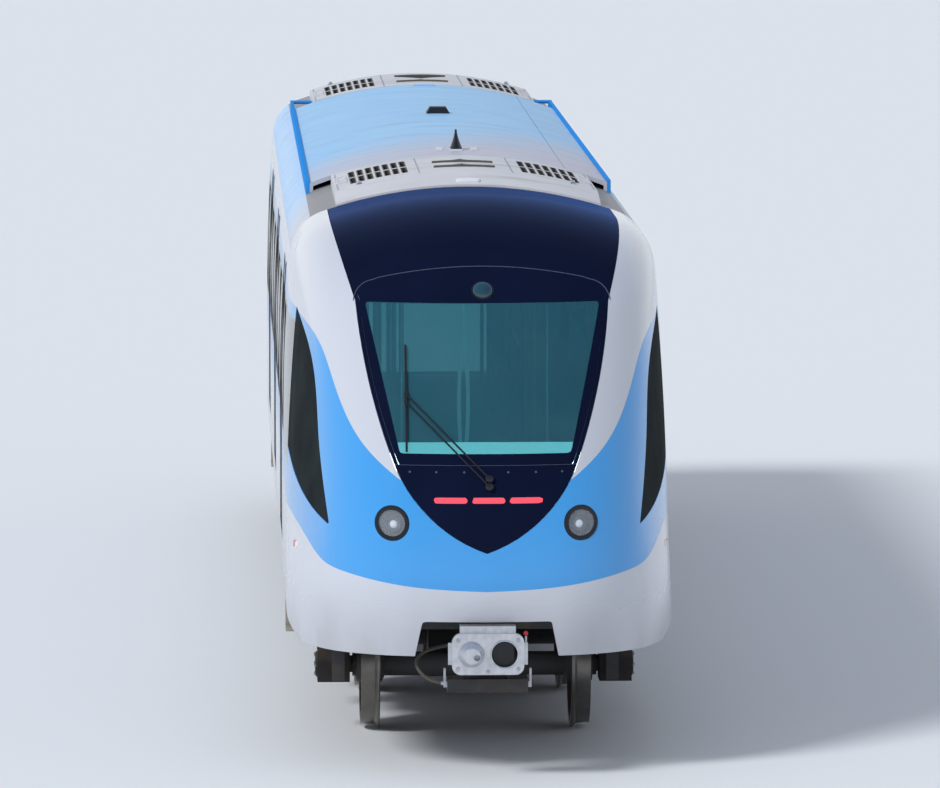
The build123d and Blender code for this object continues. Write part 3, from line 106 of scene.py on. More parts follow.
def sweep(path, profile, up, closed=False):
    """A closed profile carried along a path. At each point of the path the profile's first
    number goes sideways, across the path and up, and its second along up."""
    path = np.asarray(path, float)
    profile = np.asarray(profile, float)
    if closed:
        ahead = np.roll(path, -1, axis=0) - np.roll(path, 1, axis=0)
    else:
        ahead = np.gradient(path, axis=0)
    ahead /= np.linalg.norm(ahead, axis=1, keepdims=True)
    up = np.broadcast_to(np.asarray(up, float), path.shape)
    aside = np.cross(ahead, up)
    aside /= np.linalg.norm(aside, axis=1, keepdims=True)
    up = np.cross(aside, ahead)
    rings = path[:, None] + aside[:, None] * profile[:, :1] + up[:, None] * profile[:, 1:]
    return looped(rings) if closed else stacked(rings)


def tube_faces(count, steps):
    """Faces of a stack of rings, and a fan at each end to a point kept after the rings."""
    here = np.arange(steps)
    beside = np.roll(here, -1)
    last = (count - 1) * steps
    first_tip = np.full(steps, count * steps)
    return [
        grid_faces(count, steps, wrap=True),
        np.stack((first_tip, beside, here), 1),
        np.stack((first_tip + 1, here + last, beside + last), 1),
    ]


def stacked(rings):
    """A closed shape of rings of points, its two ends closed at their middles."""
    count, steps = rings.shape[:2]
    tips = rings[[0, -1]].mean(axis=1)
    return facing_out(np.concatenate((rings.reshape(-1, 3), tips)), tube_faces(count, steps))


def looped(rings):
    """A closed shape of rings of points, the last joined to the first."""
    count, steps = rings.shape[:2]
    last = (count - 1) * steps + np.arange(steps)
    first = np.arange(steps)
    seam = np.stack((last, np.roll(last, -1), np.roll(first, -1), first), 1)
    return facing_out(rings.reshape(-1, 3), [grid_faces(count, steps, wrap=True), seam])


def turned(profile, centres, axes, steps=32):
    """Profiles of (distance along the axis, radius) turned round an axis at each centre, all in
    one shape. A spoke is the cosine and sine of the turn along two directions square to the
    axis."""
    profile = np.asarray(profile, float)
    centres = np.atleast_2d(np.asarray(centres, float))
    axes = np.broadcast_to(np.asarray(axes, float), centres.shape)
    axes = axes / np.linalg.norm(axes, axis=1, keepdims=True)
    first = np.cross(axes, np.where(np.abs(axes[:, 2:]) < 0.9, (0.0, 0.0, 1.0), (1.0, 0.0, 0.0)))
    first /= np.linalg.norm(first, axis=1, keepdims=True)
    second = np.cross(axes, first)
    turn = np.linspace(0, 2 * np.pi, steps, endpoint=False)[:, None]
    spokes = np.cos(turn) * first[:, None] + np.sin(turn) * second[:, None]
    middles = centres[:, None] + profile[:, :1] * axes[:, None]
    rings = middles[:, :, None] + profile[:, 1:, None] * spokes[:, None]
    points = np.concatenate((rings.reshape(len(centres), -1, 3), middles[:, [0, -1]]), axis=1)
    shift = np.arange(len(centres))[:, None, None] * points.shape[1]
    faces = [(rows + shift).reshape(-1, rows.shape[1]) for rows in tube_faces(len(profile), steps)]
    return facing_out(points.reshape(-1, 3), faces)


def ring(radius, steps=12):
    """Points of a circle, as a profile."""
    turn = np.linspace(0, 2 * np.pi, steps, endpoint=False)
    return radius * np.stack((np.cos(turn), np.sin(turn)), 1)


CORNERS = np.array(((-1, -1), (1, -1), (1, 1), (-1, 1)))


def rounded(corners, radii, steps=6):
    """A closed outline whose corners are arcs. The arc's centre lies on the line that halves
    the corner, a radius over the sine of half its angle away, and the arc's spokes turn evenly
    from one side's square to the other's."""
    corners = np.asarray(corners, float)
    radii = np.broadcast_to(np.asarray(radii, float), len(corners))[:, None]
    back = np.roll(corners, 1, axis=0) - corners
    on = np.roll(corners, -1, axis=0) - corners
    back /= np.linalg.norm(back, axis=1, keepdims=True)
    on /= np.linalg.norm(on, axis=1, keepdims=True)
    half = np.arccos(np.clip((back * on).sum(1, keepdims=True), -1, 1)) / 2
    middle = back + on
    middle /= np.linalg.norm(middle, axis=1, keepdims=True)
    centre = corners + middle * radii / np.sin(half)
    start = corners + back * radii / np.tan(half) - centre
    end = corners + on * radii / np.tan(half) - centre
    turn = np.pi - 2 * half[:, None]
    share = np.linspace(0, 1, steps)[:, None]
    spokes = np.sin((1 - share) * turn) * start[:, None] + np.sin(share * turn) * end[:, None]
    spokes = spokes / np.sin(turn)
    return (centre[:, None] + spokes).reshape(-1, 2)


def dress(name, shape, material, body=BODY, stands_for=(), sharp=35, smooth=True):
    """Makes a shape a Blender object with its material, riding on a body of the frame."""
    points, faces = shape
    mesh = bpy.data.meshes.new(name)
    mesh.from_pydata(points.tolist(), [], [face for rows in faces for face in rows.tolist()])
    mesh.validate()
    if smooth:
        mesh.shade_smooth()
        mesh.set_sharp_from_angle(angle=np.radians(sharp))
    mesh.materials.append(material)
    piece = bpy.data.objects.new(name, mesh)
    bpy.context.scene.collection.objects.link(piece)
    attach(piece, body)
    if stands_for:
        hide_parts(*stands_for)
    print(name, len(points), "points", sum(len(rows) for rows in faces), "faces")
    return piece


# %% [markdown]
# ## Finishes
#
# Every material is built from nodes. Colours are written as the hex values that a designer
# would use, and one function turns them to the linear numbers that the renderer needs. One more
# function adds a node with its settings and its links.


# %% Finishes
def colour(code):
    """Linear colour of an sRGB hex value: each channel c over 255 becomes
    ((c + 0.055) / 1.055) to the power 2.4, or c / 12.92 where it is very dark."""
    channels = np.array([int(code[i : i + 2], 16) for i in (1, 3, 5)]) / 255
    linear = np.where(channels <= 0.04045, channels / 12.92, ((channels + 0.055) / 1.055) ** 2.4)
    return (*linear.tolist(), 1.0)


def add(tree, kind, inputs, **settings):
    """Adds a node. Each input takes a value, or a link from a socket or a node's first output."""
    node = tree.nodes.new("ShaderNode" + kind)
    for name, value in settings.items():
        setattr(node, name, value)
    for name, value in inputs.items():
        if isinstance(value, bpy.types.Node):
            value = value.outputs[0]
        if isinstance(value, bpy.types.NodeSocket):
            tree.links.new(value, node.inputs[name])
        else:
            node.inputs[name].default_value = value
    return node


def start(name):
    """A new material: itself, its tree, its Principled shader and its Object coordinates."""
    made = bpy.data.materials.new(name)
    made.use_nodes = True
    tree = made.node_tree
    place = add(tree, "TexCoord", {}).outputs["Object"]
    return made, tree, tree.nodes["Principled BSDF"], place


def finish_with(tree, shader, **sockets):
    """Sets or links the Principled shader's sockets. Underscores stand for spaces."""
    for name, value in sockets.items():
        socket = shader.inputs[name.replace("_", " ")]
        if isinstance(value, bpy.types.Node):
            value = value.outputs[0]
        if isinstance(value, bpy.types.NodeSocket):
            tree.links.new(value, socket)
        else:
            socket.default_value = value


# %% [markdown]
# ## Camera, floor and light
#
# The photograph was taken from high up, far off and with a long lens. Its vanishing point and
# the gauge of the wheels give the camera's height, its place to one side and its distance. The
# render keeps that point of view and turns the camera to the car with a longer lens, so the
# perspective is the photograph's own while the car fills the frame.

# %% Camera
FRAME_WIDTH = 940
PHOTO_FOCUS = 3333
VANISHING_POINT = (475, 232)
CAR_MIDDLE = (588, 552)
CLOSER = 2.4
EYE = (-1.95, TIP - 54.0, 7.828)

camera_data = bpy.data.cameras.new("camera")
camera_data.sensor_width = 36
camera_data.lens = CLOSER * PHOTO_FOCUS / FRAME_WIDTH * camera_data.sensor_width
camera_data.clip_end = 2000
camera = bpy.data.objects.new("camera", camera_data)
camera.location = EYE
view_direction = Vector(
    (CAR_MIDDLE[0] - VANISHING_POINT[0], PHOTO_FOCUS, VANISHING_POINT[1] - CAR_MIDDLE[1])
)
camera.rotation_mode = "QUATERNION"
camera.rotation_quaternion = view_direction.to_track_quat("-Z", "Y")
bpy.context.scene.collection.objects.link(camera)
bpy.context.scene.camera = camera
bpy.context.scene.view_settings.view_transform = "Standard"
print("lens", round(camera_data.lens), "mm")

# %% Floor and light
FLOOR_REACH = 900

floor_mesh = bpy.data.meshes.new("studio_floor")
floor_mesh.from_pydata(
    [(x * FLOOR_REACH, y * FLOOR_REACH, 0) for x, y in ((-1, -1), (1, -1), (1, 1), (-1, 1))],
    [],
    [(0, 1, 2, 3)],
)
studio_floor = bpy.data.objects.new("studio_floor", floor_mesh)
bpy.context.scene.collection.objects.link(studio_floor)
pale, tree, shader, place = start("pale_studio_floor")
finish_with(tree, shader, Base_Color=colour("#eceff2"), Roughness=0.7, Specular_IOR_Level=0.2)
floor_mesh.materials.append(pale)

world = bpy.data.worlds.new("soft_sky")
bpy.context.scene.world = world
world.use_nodes = True
tree = world.node_tree
rays = add(tree, "LightPath", {})
shown = add(
    tree, "Math", {0: rays.outputs["Is Camera Ray"], 1: rays.outputs["Is Glossy Ray"]},
    operation="MAXIMUM",
)
shown = add(
    tree, "Math", {0: shown, 1: rays.outputs["Is Transmission Ray"]}, operation="MAXIMUM"
)
lighting = add(tree, "Background", {"Color": colour("#eef4ff"), "Strength": 0.52})
gaze = add(tree, "TexCoord", {}).outputs["Generated"]
rise = add(tree, "SeparateXYZ", {0: gaze}).outputs["Z"]
climb = add(
    tree, "MapRange", {"Value": rise, "From Max": 0.9}, interpolation_type="SMOOTHSTEP"
)
sky = add(tree, "Mix", {0: climb, 6: colour("#f4f7fb"), 7: colour("#5f87b8")}, data_type="RGBA")
backdrop = add(tree, "Background", {"Color": sky.outputs[2], "Strength": 1.0})
both = add(tree, "MixShader", {0: shown, 1: lighting, 2: backdrop})
tree.links.new(both.outputs[0], tree.nodes["World Output"].inputs["Surface"])

sun_data = bpy.data.lights.new("soft_sun", "SUN")
sun_data.energy = 2.1
sun_data.angle = np.radians(14)
sun = bpy.data.objects.new("soft_sun", sun_data)
sun.rotation_mode = "QUATERNION"
sun.rotation_quaternion = Vector((0.80, 0.62, -0.85)).to_track_quat("-Z", "Y")
# Gloss mirrors the sky alone: a lamp's disc would show on the glass as a white spot
sun.visible_glossy = False
bpy.context.scene.collection.objects.link(sun)
print("sun", sun_data.energy, "world", lighting.inputs["Strength"].default_value)

# %% [markdown]
# ## The nose as one surface
#
# The real nose is a moulded shell whose sections fan out: the last one stands upright across
# the car and the first lies low behind the coupler. Each section is an arch of a crown arc, two
# corner arcs, two flank arcs and two straight feet. A point of the surface has two numbers: w
# runs along an arch and v from arch to arch. Between the arches a smooth cubic carries each w.
# All nose pieces are cut from this one surface, so they meet along the same curves.

# %% Arches
# columns: top s, top z, foot s, foot z, flank radius, flank turn, crown radius, crown turn
HOOPS = np.array(
    (
        (0.090, 0.748, 2.880, 0.628, 3.2, 20.0, 3.0, 9.0),
        (0.020, 1.428, 2.915, 0.673, 3.3, 20.0, 3.0, 9.0),
        (0.330, 2.278, 2.945, 0.703, 4.2, 18.5, 2.6, 12.0),
        (0.960, 3.263, 2.970, 0.733, 6.8, 13.0, 2.8, 15.5),
        (2.150, 3.728, 2.990, 0.758, 13.0, 6.2, 3.2, 18.3),
        (3.000, 3.788, 3.000, 0.768, 15.4, 4.84, 3.3, 18.88),
    )
)
HOOP_GAPS = np.hypot(np.diff(HOOPS[:, 0]), np.diff(HOOPS[:, 1]))
LAST_HOOP = len(HOOPS) - 1
STRAIGHT = NOSE_LENGTH - HOOPS[-1, 0]
TUCK_TOP, TUCK_BULGE, TUCK_FOOT = (1.365, 1.080), (1.320, 0.890), (1.240, 0.828)
# A soft crease down the middle of the lower front: how far it stands out, its reach, its top,
# and the height over which it fades out
CREASE, CREASE_REACH, CREASE_TOP, CREASE_FADE = 0.012, 0.75, 1.62, 0.4


def arch_points(w):
    """Points of every arch at places w, as arches by places by X, Y and Z. From the crown's
    middle, |w| from 0 to 1 runs along the crown, to 2 round the corner, to 3 down the flank and
    to 4 straight to the foot. On an arc a point is its centre plus the radius times the sine
    and cosine of the turn from upright."""
    top_s, top_z, foot_s, foot_z, flank_r, lean, crown_r, spread = HOOPS.T[:, :, None]
    lean, spread = np.radians(lean), np.radians(spread)
    run, rise = top_s - foot_s, top_z - foot_z
    reach = np.hypot(run, rise)
    corner_r = HALF_WIDTH - flank_r * (1 - np.cos(lean)) - crown_r * np.sin(spread)
    corner_r = corner_r / (np.cos(lean) - np.sin(spread))
    crown_y = reach - crown_r
    corner_x = (crown_r - corner_r) * np.sin(spread)
    corner_y = crown_y + (crown_r - corner_r) * np.cos(spread)
    flank_x = HALF_WIDTH - flank_r
    flank_y = corner_y + (corner_r - flank_r) * np.sin(lean)
    far = np.abs(w)[None]
    on_crown, on_corner, on_flank = far < 1, far < 2, far < 3
    turn = np.where(
        on_crown,
        spread * far,
        np.where(
            on_corner,
            spread + (far - 1) * (np.pi / 2 - lean - spread),
            np.pi / 2 - lean * np.clip(3 - far, 0, 1),
        ),
    )
    x = np.where(
        on_crown,
        crown_r * np.sin(turn),
        np.where(on_corner, corner_x + corner_r * np.sin(turn), flank_x + flank_r * np.sin(turn)),
    )
    y = np.where(
        on_crown,
        crown_y + crown_r * np.cos(turn),
        np.where(
            on_corner,
            corner_y + corner_r * np.cos(turn),
            np.where(on_flank, flank_y + flank_r * np.cos(turn), flank_y * (4 - far)),
        ),
    )
    s = foot_s + run / reach * y
    z = foot_z + rise / reach * y
    return np.stack((np.sign(w) * x, TIP + s, z), axis=-1)


# %% Cubic between the arches
def slopes(gaps, values, end=None):
    """Slopes of the smooth cubic through values: its bend is the same on both sides of each
    inner value, and none at an end whose slope isn't given."""
    wide = gaps.reshape(-1, *[1] * (values.ndim - 1))
    steps = np.diff(values, axis=0) / wide
    inner = 3 * (steps[:-1] / wide[:-1] + steps[1:] / wide[1:])
    last = 3 * steps[-1:] if end is None else end[None]
    right = np.concatenate((3 * steps[:1], inner, last))
    free = end is None
    rule = np.diag(np.r_[2, 2 / gaps[:-1] + 2 / gaps[1:], 2 if free else 1])
    rule += np.diag(np.r_[1 / gaps[:-1], 1 if free else 0], -1)
    rule += np.diag(np.r_[1, 1 / gaps[1:]], 1)
    return np.tensordot(np.linalg.inv(rule), right, 1)


def cubic(gaps, values, bends, v, which):
    """The cubic's points at places v, where whole numbers are the given values."""
    k = np.clip(np.floor(v).astype(int), 0, len(gaps) - 1)
    t = (v - k)[:, None]
    gap = gaps[k][:, None]
    return (
        (1 + 2 * t) * (1 - t) ** 2 * values[k, which]
        + t * (1 - t) ** 2 * gap * bends[k, which]
        + t**2 * (3 - 2 * t) * values[k + 1, which]
        + t**2 * (t - 1) * gap * bends[k + 1, which]
    )


def circle_through(a, b, c):
    """Centre and radius of the circle through three points: the centre is as far from each."""
    a, b, c = (np.array(p) for p in (a, b, c))
    rule = 2 * np.array((b - a, c - a))
    centre = np.linalg.solve(rule, (b @ b - a @ a, c @ c - a @ a))
    return centre, np.linalg.norm(a - centre)


TUCK_CENTRE, TUCK_RADIUS = circle_through(TUCK_TOP, TUCK_BULGE, TUCK_FOOT)


def nose_point(w, v):
    """Points of the nose. v from 0 to 5 passes the arches and 5 to 6 is the straight stretch.
    Low down, X keeps inside the arc that tucks the body's lower edge in."""
    arches = arch_points(w)
    rate = (arches[-1] - arches[-2]) / HOOP_GAPS[-1] * (0, 1, 0)
    bends = slopes(HOOP_GAPS, arches, rate)
    points = cubic(HOOP_GAPS, arches, bends, np.minimum(v, LAST_HOOP), np.arange(len(w)))
    points[:, 1] += np.maximum(v - LAST_HOOP, 0) * STRAIGHT
    drop = np.clip(points[:, 2], SKIRT_BOTTOM - 0.01, TUCK_TOP[1]) - TUCK_CENTRE[1]
    most = TUCK_CENTRE[0] + np.sqrt(TUCK_RADIUS**2 - drop**2)
    low = points[:, 2] < TUCK_TOP[1]
    points[:, 0] = np.where(low, np.clip(points[:, 0], -most, most), points[:, 0])
    nearness = np.clip(1 - np.abs(points[:, 0]) / CREASE_REACH, 0, 1) ** 1.5
    fade = np.clip((CREASE_TOP - points[:, 2]) / CREASE_FADE, 0, 1)
    points[:, 1] -= CREASE * nearness * fade**2 * (3 - 2 * fade)
    return points


def nose_out(w, v, step=1e-3):
    """Directions straight out of the nose, square to its slopes along w and v."""
    along = nose_point(w + step, v) - nose_point(w - step, v)
    onward = nose_point(w, v + step) - nose_point(w, v - step)
    out = np.cross(along, onward)
    return out / np.linalg.norm(out, axis=1, keepdims=True)


# %% [markdown]
# ## Cutting pieces from the surface
#
# A patch is a set of (w, v) places and triangles between them. To cut it, a field gives each
# point a number that is positive inside the wanted outline. Triangles inside stay, those outside
# go, and one that the outline crosses is cut where the number is zero. That gives a crisp edge
# of any shape without a boolean, and two pieces that share an outline fit each other.


# %% Patches
def patch_of(across, along):
    """A patch of two triangles for each cell of a grid of places."""
    w, v = np.meshgrid(across, along)
    quads = grid_faces(len(along), len(across))
    triangles = np.concatenate((quads[:, [0, 1, 2]], quads[:, [0, 2, 3]]))
    return np.stack((w.ravel(), v.ravel()), 1), triangles


def clip(patch, field):
    """The part of a patch where the field is positive. Along a crossed edge the zero is found
    by drawing the line between its ends' numbers, three times on ever shorter stretches."""
    places, faces = patch
    level = field(nose_point(*places.T))
    inside = level > 0
    count = inside[faces].sum(1)
    crossed = faces[(count == 1) | (count == 2)]
    inside_here = inside[crossed]
    odd = (inside_here == (inside_here.sum(1) == 1)[:, None]).argmax(1)
    crossed = crossed[np.arange(len(crossed))[:, None], (odd[:, None] + np.arange(3)) % 3]
    pairs = np.sort(crossed[:, [[0, 1], [0, 2]]].reshape(-1, 2), axis=1)
    edges, which = np.unique(pairs, axis=0, return_inverse=True)
    a, b = edges.T
    low, high = np.zeros(len(edges)), np.ones(len(edges))
    at_low, at_high = level[a], level[b]
    for _ in range(3):
        share = low + (high - low) * at_low / (at_low - at_high)
        spot = places[a] + share[:, None] * (places[b] - places[a])
        value = field(nose_point(*spot.T))
        same = (value > 0) == (at_low > 0)
        low, at_low = np.where(same, share, low), np.where(same, value, at_low)
        high, at_high = np.where(same, high, share), np.where(same, at_high, value)
    ab, ac = (len(places) + which.reshape(-1, 2)).T
    lone = inside[crossed[:, 0]]
    tips = np.stack((crossed[:, 0], ab, ac), 1)[lone]
    near = np.stack((ab, crossed[:, 1], crossed[:, 2]), 1)[~lone]
    rest = np.stack((ab, crossed[:, 2], ac), 1)[~lone]
    kept = np.concatenate((faces[count == 3], tips, near, rest))
    used, kept = np.unique(kept, return_inverse=True)
    return np.concatenate((places, spot))[used], kept.reshape(-1, 3)


def wall(patch, lift, depth):
    """A closed wall from a patch: the surface moved out by lift, the same moved in by depth,
    and a strip of quads round every open edge. An open edge belongs to one triangle only."""
    places, faces = patch
    skin, out = nose_point(*places.T), nose_out(*places.T)
    sides = np.concatenate((faces[:, [0, 1]], faces[:, [1, 2]], faces[:, [2, 0]]))
    _, which, count = np.unique(
        np.sort(sides, axis=1), axis=0, return_inverse=True, return_counts=True
    )
    a, b = sides[count[which.ravel()] == 1].T
    behind = len(places)
    rim = np.stack((b, a, a + behind, b + behind), 1)
    points = np.concatenate((skin + out * lift, skin - out * depth))
    return points, [faces, faces[:, ::-1] + behind, rim]


# %% Outlines seen from the front
def within(outline, mirrored=False):
    """A field: how far inside a closed outline of X and Z a point lies, negative outside. The
    distance is to the nearest side, and a point is inside if a line from it crosses an odd
    number of sides. With mirrored, both halves of the nose use the right half's outline."""
    ends = np.roll(outline, -1, axis=0)
    along = ends - outline
    square = (along**2).sum(1)

    def field(points):
        x = np.abs(points[:, 0]) if mirrored else points[:, 0]
        seen = np.stack((x, points[:, 2]), 1)[:, None]
        share = np.clip(((seen - outline) * along).sum(2) / square, 0, 1)
        off = np.linalg.norm(seen - outline - share[..., None] * along, axis=2).min(1)
        x, z = seen[..., 0], seen[..., 1]
        passes = (outline[:, 1] > z) != (ends[:, 1] > z)
        rise = np.where(along[:, 1] == 0, 1, along[:, 1])
        crossing = outline[:, 0] + (z - outline[:, 1]) / rise * along[:, 0]
        odd = (passes & (x < crossing)).sum(1) % 2
        return np.where(odd, off, -off)

    return field


def smooth_line(points, per_gap=8):
    """A smooth line through points: a cubic in each number over the distance along them."""
    points = np.asarray(points, float)
    gaps = np.linalg.norm(np.diff(points, axis=0), axis=1)
    v = np.linspace(0, len(gaps), len(gaps) * per_gap + 1)
    values = points[:, None]
    return cubic(gaps, values, slopes(gaps, values), v, np.zeros(len(v), int))


def arc_line(a, b, c, steps=12):
    """The arc from a through b to c: spokes of the circle through them, evenly turned."""
    centre, radius = circle_through(a, b, c)
    turns = [np.arctan2(*(np.array(p) - centre)[::-1]) for p in (a, b, c)]
    turn = np.unwrap(turns)
    swing = np.linspace(turn[0], turn[2], steps)
    return centre + radius * np.stack((np.cos(swing), np.sin(swing)), 1)


def both_halves(right):
    """A closed outline from its right half, in order upwards, and its mirror image."""
    return np.concatenate((right, right[::-1] * (-1, 1)))


MASK_TIP = (0.0, 1.548)
MASK_CHEEK = ((0.350, 1.748), (0.615, 2.098))
MASK_SIDE = ((0.770, 2.578), (0.875, 3.188))
MASK_TOP = (1.050, 3.700)
ABOVE = 3.95
mask_right = np.concatenate(
    (
        arc_line(MASK_TIP, *MASK_CHEEK),
        arc_line(MASK_CHEEK[1], *MASK_SIDE)[1:],
        (MASK_TOP, (MASK_TOP[0], ABOVE)),
    )
)
mask_field = within(both_halves(mask_right)[:-1])

SCREEN_BOTTOM, SCREEN_TOP = (0.587, 2.203), (0.812, 3.188)
screen_field = within(rounded(both_halves(np.array((SCREEN_BOTTOM, SCREEN_TOP))), (0.03, 0.02, 0.02, 0.03)))

GAP_BOTTOM, GAP_TOP = (0.508, 0.75), (0.440, 1.078)
gap_field = within(rounded(both_halves(np.array((GAP_BOTTOM, GAP_TOP))), (0.01, 0.02, 0.02, 0.01)))

QUARTER_FRONT = ((1.070, 1.695), (1.135, 2.260), (1.195, 2.858), (1.270, 3.068))
QUARTER_LOWER = ((1.070, 1.695), (1.190, 1.788), (1.300, 1.968), (1.345, 2.138))
QUARTER_BACK = 2.1
BEYOND = 1.45
quarter_outline = np.concatenate(
    (
        smooth_line(QUARTER_FRONT),
        ((BEYOND, QUARTER_FRONT[-1][1]), (BEYOND, QUARTER_LOWER[-1][1])),
        smooth_line(QUARTER_LOWER)[:0:-1],
    )
)
quarter_seen = within(quarter_outline, mirrored=True)

LAMP_X, LAMP_Z, LAMP_RADIUS = 0.645, 1.743, 0.116
BAR_Z, BAR_HEIGHT, BAR_WIDTH = 1.898, 0.038, 0.230
BAR_PLACES = np.array((-0.245, 0.013, 0.271))


def quarter_field(points):
    """Inside a quarter window, which also ends at a place behind the nose."""
    return np.minimum(quarter_seen(points), TIP + QUARTER_BACK - points[:, 1])


def lamp_field(points):
    """How far inside a headlamp's circle."""
    return LAMP_RADIUS - np.hypot(np.abs(points[:, 0]) - LAMP_X, points[:, 2] - LAMP_Z)


def bar_field(points):
    """How far inside the nearest light bar: half its height less the distance to its middle
    line."""
    reach = (BAR_WIDTH - BAR_HEIGHT) / 2
    aside = np.maximum(np.abs(points[:, :1] - BAR_PLACES) - reach, 0)
    off = np.hypot(aside, (points[:, 2] - BAR_Z)[:, None])
    return BAR_HEIGHT / 2 - off.min(1)


print("mask outline", len(mask_right) * 2, "points, quarter window", len(quarter_outline))

# %% [markdown]
# ## Livery
#
# The nose is sky blue with two silver fields: a swoosh that widens from the mask's cheeks up to
# the roof, and the low skirt. Both borders are smooth curves seen from the front. Each point of
# a nose piece carries how far it is inside the blue, as an attribute, and the enamel switches
# colour where that passes zero, which keeps the border sharp at any distance.

# %% Livery
BLUE_LOW = ((0.0, 1.288), (0.45, 1.312), (0.97, 1.398), (1.11, 1.448), (1.25, 1.603), (1.337, 1.688))
BLUE_HIGH = (
    (0.600, 2.038), (0.740, 2.153), (0.850, 2.273), (1.040, 2.678), (1.180, 2.978), (1.280, 3.062)
)
BLUE_START = (0.45, 1.95)
BLUE_TOP, BLUE_FOOT = 3.068, 1.692
BAND_TOP, BAND_FOOT, BAND_START = 2.962, 1.938, TIP + 2.1
blue_right = np.concatenate(
    (
        smooth_line(BLUE_LOW),
        ((BEYOND, BLUE_FOOT), (BEYOND, BLUE_TOP)),
        smooth_line(BLUE_HIGH)[::-1],
        (BLUE_START,),
    )
)
blue_field = within(both_halves(blue_right)[1:])


def with_field(piece, name, field):
    """Writes a field of the piece's own points as an attribute that its material reads."""
    mesh = piece.data
    points = np.empty(len(mesh.vertices) * 3)
    mesh.vertices.foreach_get("co", points)
    mesh.attributes.new(name, "FLOAT", "POINT").data.foreach_set("value", field(points.reshape(-1, 3)))


# %% [markdown]
# ## Masks and mixes
#
# Most finishes here are one paint over another, divided by where a point lies. A mask is 1 inside
# and 0 outside, and mixing colours by it lays paint on paint. Masks of several nodes have a small
# function each: between two levels, a distance from a line, and clouds that can be stretched.


# %% Masks
def between(tree, value, low, high):
    """1 where a number lies between two levels, and 0 elsewhere."""
    above = add(tree, "Math", {0: value, 1: low}, operation="GREATER_THAN")
    below = add(tree, "Math", {0: value, 1: high}, operation="LESS_THAN")
    return add(tree, "Math", {0: above, 1: below}, operation="MULTIPLY")


def from_line(tree, place, point, along):
    """Distance from a line through a point along X, Y or Z: the place and the point are
    flattened along the line, and what is left between them is the distance."""
    flat = [0.0 if axis == along else 1.0 for axis in "XYZ"]
    seen = add(tree, "VectorMath", {0: place, 1: flat}, operation="MULTIPLY")
    middle = [number * keep for number, keep in zip(point, flat)]
    return add(tree, "VectorMath", {0: seen, 1: middle}, operation="DISTANCE").outputs["Value"]


def cloudy(tree, place, scale, detail=4.0, stretch=(1, 1, 1)):
    """Soft cloud noise of about 1 / scale metres a cloud, longer where stretch is small."""
    spread = add(tree, "VectorMath", {0: place, 1: stretch}, operation="MULTIPLY")
    return add(tree, "TexNoise", {"Vector": spread, "Scale": scale, "Detail": detail}).outputs["Fac"]


def two_tone(name, tones, mottle, grain=None, bump=None, stretch=(1, 1, 1), **sockets):
    """A moulded, sprayed or worn finish: two tones in soft clouds, and a fine grain that the light
    catches. mottle and grain hold a scale and a detail, and bump a strength and a depth. With no
    grain of its own, the finish takes the clouds for its bumps too."""
    made, tree, shader, place = start(name)
    fine = None if grain is None else cloudy(tree, place, *grain)
    cloud = cloudy(tree, place, *mottle, stretch)
    if bump:
        height = cloud if fine is None else fine
        sockets["Normal"] = add(tree, "Bump", {"Height": height, "Strength": bump[0], "Distance": bump[1]})
    tone = add(
        tree, "Mix", {0: cloud, 6: colour(tones[0]), 7: colour(tones[1])}, data_type="RGBA",
    ).outputs[2]
    finish_with(tree, shader, Base_Color=tone, **sockets)
    return made


# %% [markdown]
# ## Coach enamel
#
# The body is aluminium with sprayed enamel under clear lacquer: a strong colour, a coat that
# mirrors the sky, and a faint orange-peel waviness of some 20 mm. Brake dust settles in a thin
# veil low down, and rain draws it into faint streaks. The saloon's bands are level, so they come
# straight from the height, and the dark band that ties its windows together starts where the
# quarter windows end.

# %% Coach enamel
BLUE_ENAMEL, SILVER_ENAMEL, NAVY_LACQUER = "#3d9be2", "#c8ccd6", "#0c1124"
BAND_BLACK, LINING_GREY, DUST = "#0c0f15", "#dde0df", "#6f675e"
# The dust's veil grows from one height down to the other, up to its most
DUST_TOP, DUST_FOOT, DUST_MOST = 1.40, 0.80, 0.55


def enamel(name, painted):
    """Gloss enamel with dust low down. painted gives the colour socket from the tree and its
    coordinates."""
    made, tree, shader, place = start(name)
    height = add(tree, "SeparateXYZ", {0: place}).outputs["Z"]
    low = add(
        tree, "MapRange", {"Value": height, "From Min": DUST_TOP, "From Max": DUST_FOOT},
        interpolation_type="SMOOTHSTEP",
    )
    clouds = cloudy(tree, place, 2.6, 3.0, (1, 1, 0.5))
    veil = add(
        tree, "Math", {0: add(tree, "Math", {0: low, 1: clouds}, operation="MULTIPLY"), 1: DUST_MOST},
        operation="MULTIPLY",
    )
    shade = add(
        tree, "Mix", {0: veil, 6: painted(tree, place), 7: colour(DUST)}, data_type="RGBA",
    ).outputs[2]
    rough = add(tree, "MapRange", {"Value": veil, "From Max": 0.3, "To Min": 0.24, "To Max": 0.38})
    peel = add(
        tree, "Bump", {"Height": cloudy(tree, place, 55.0, 2.0), "Strength": 0.04, "Distance": 0.004},
    )
    finish_with(
        tree, shader, Base_Color=shade, Roughness=rough, Normal=peel, Coat_Weight=0.5, Coat_Roughness=0.07
    )
    return made


def window_band(tree, place, shade):
    """The dark band round the saloon's windows, laid over a colour."""
    parts = add(tree, "SeparateXYZ", {0: place}).outputs
    level = between(tree, parts["Z"], BAND_FOOT, BAND_TOP)
    behind = add(tree, "Math", {0: parts["Y"], 1: BAND_START}, operation="GREATER_THAN")
    return add(
        tree, "Mix",
        {
            0: add(tree, "Math", {0: level, 1: behind}, operation="MULTIPLY"), 6: shade,
            7: colour(BAND_BLACK),
        },
        data_type="RGBA",
    ).outputs[2]


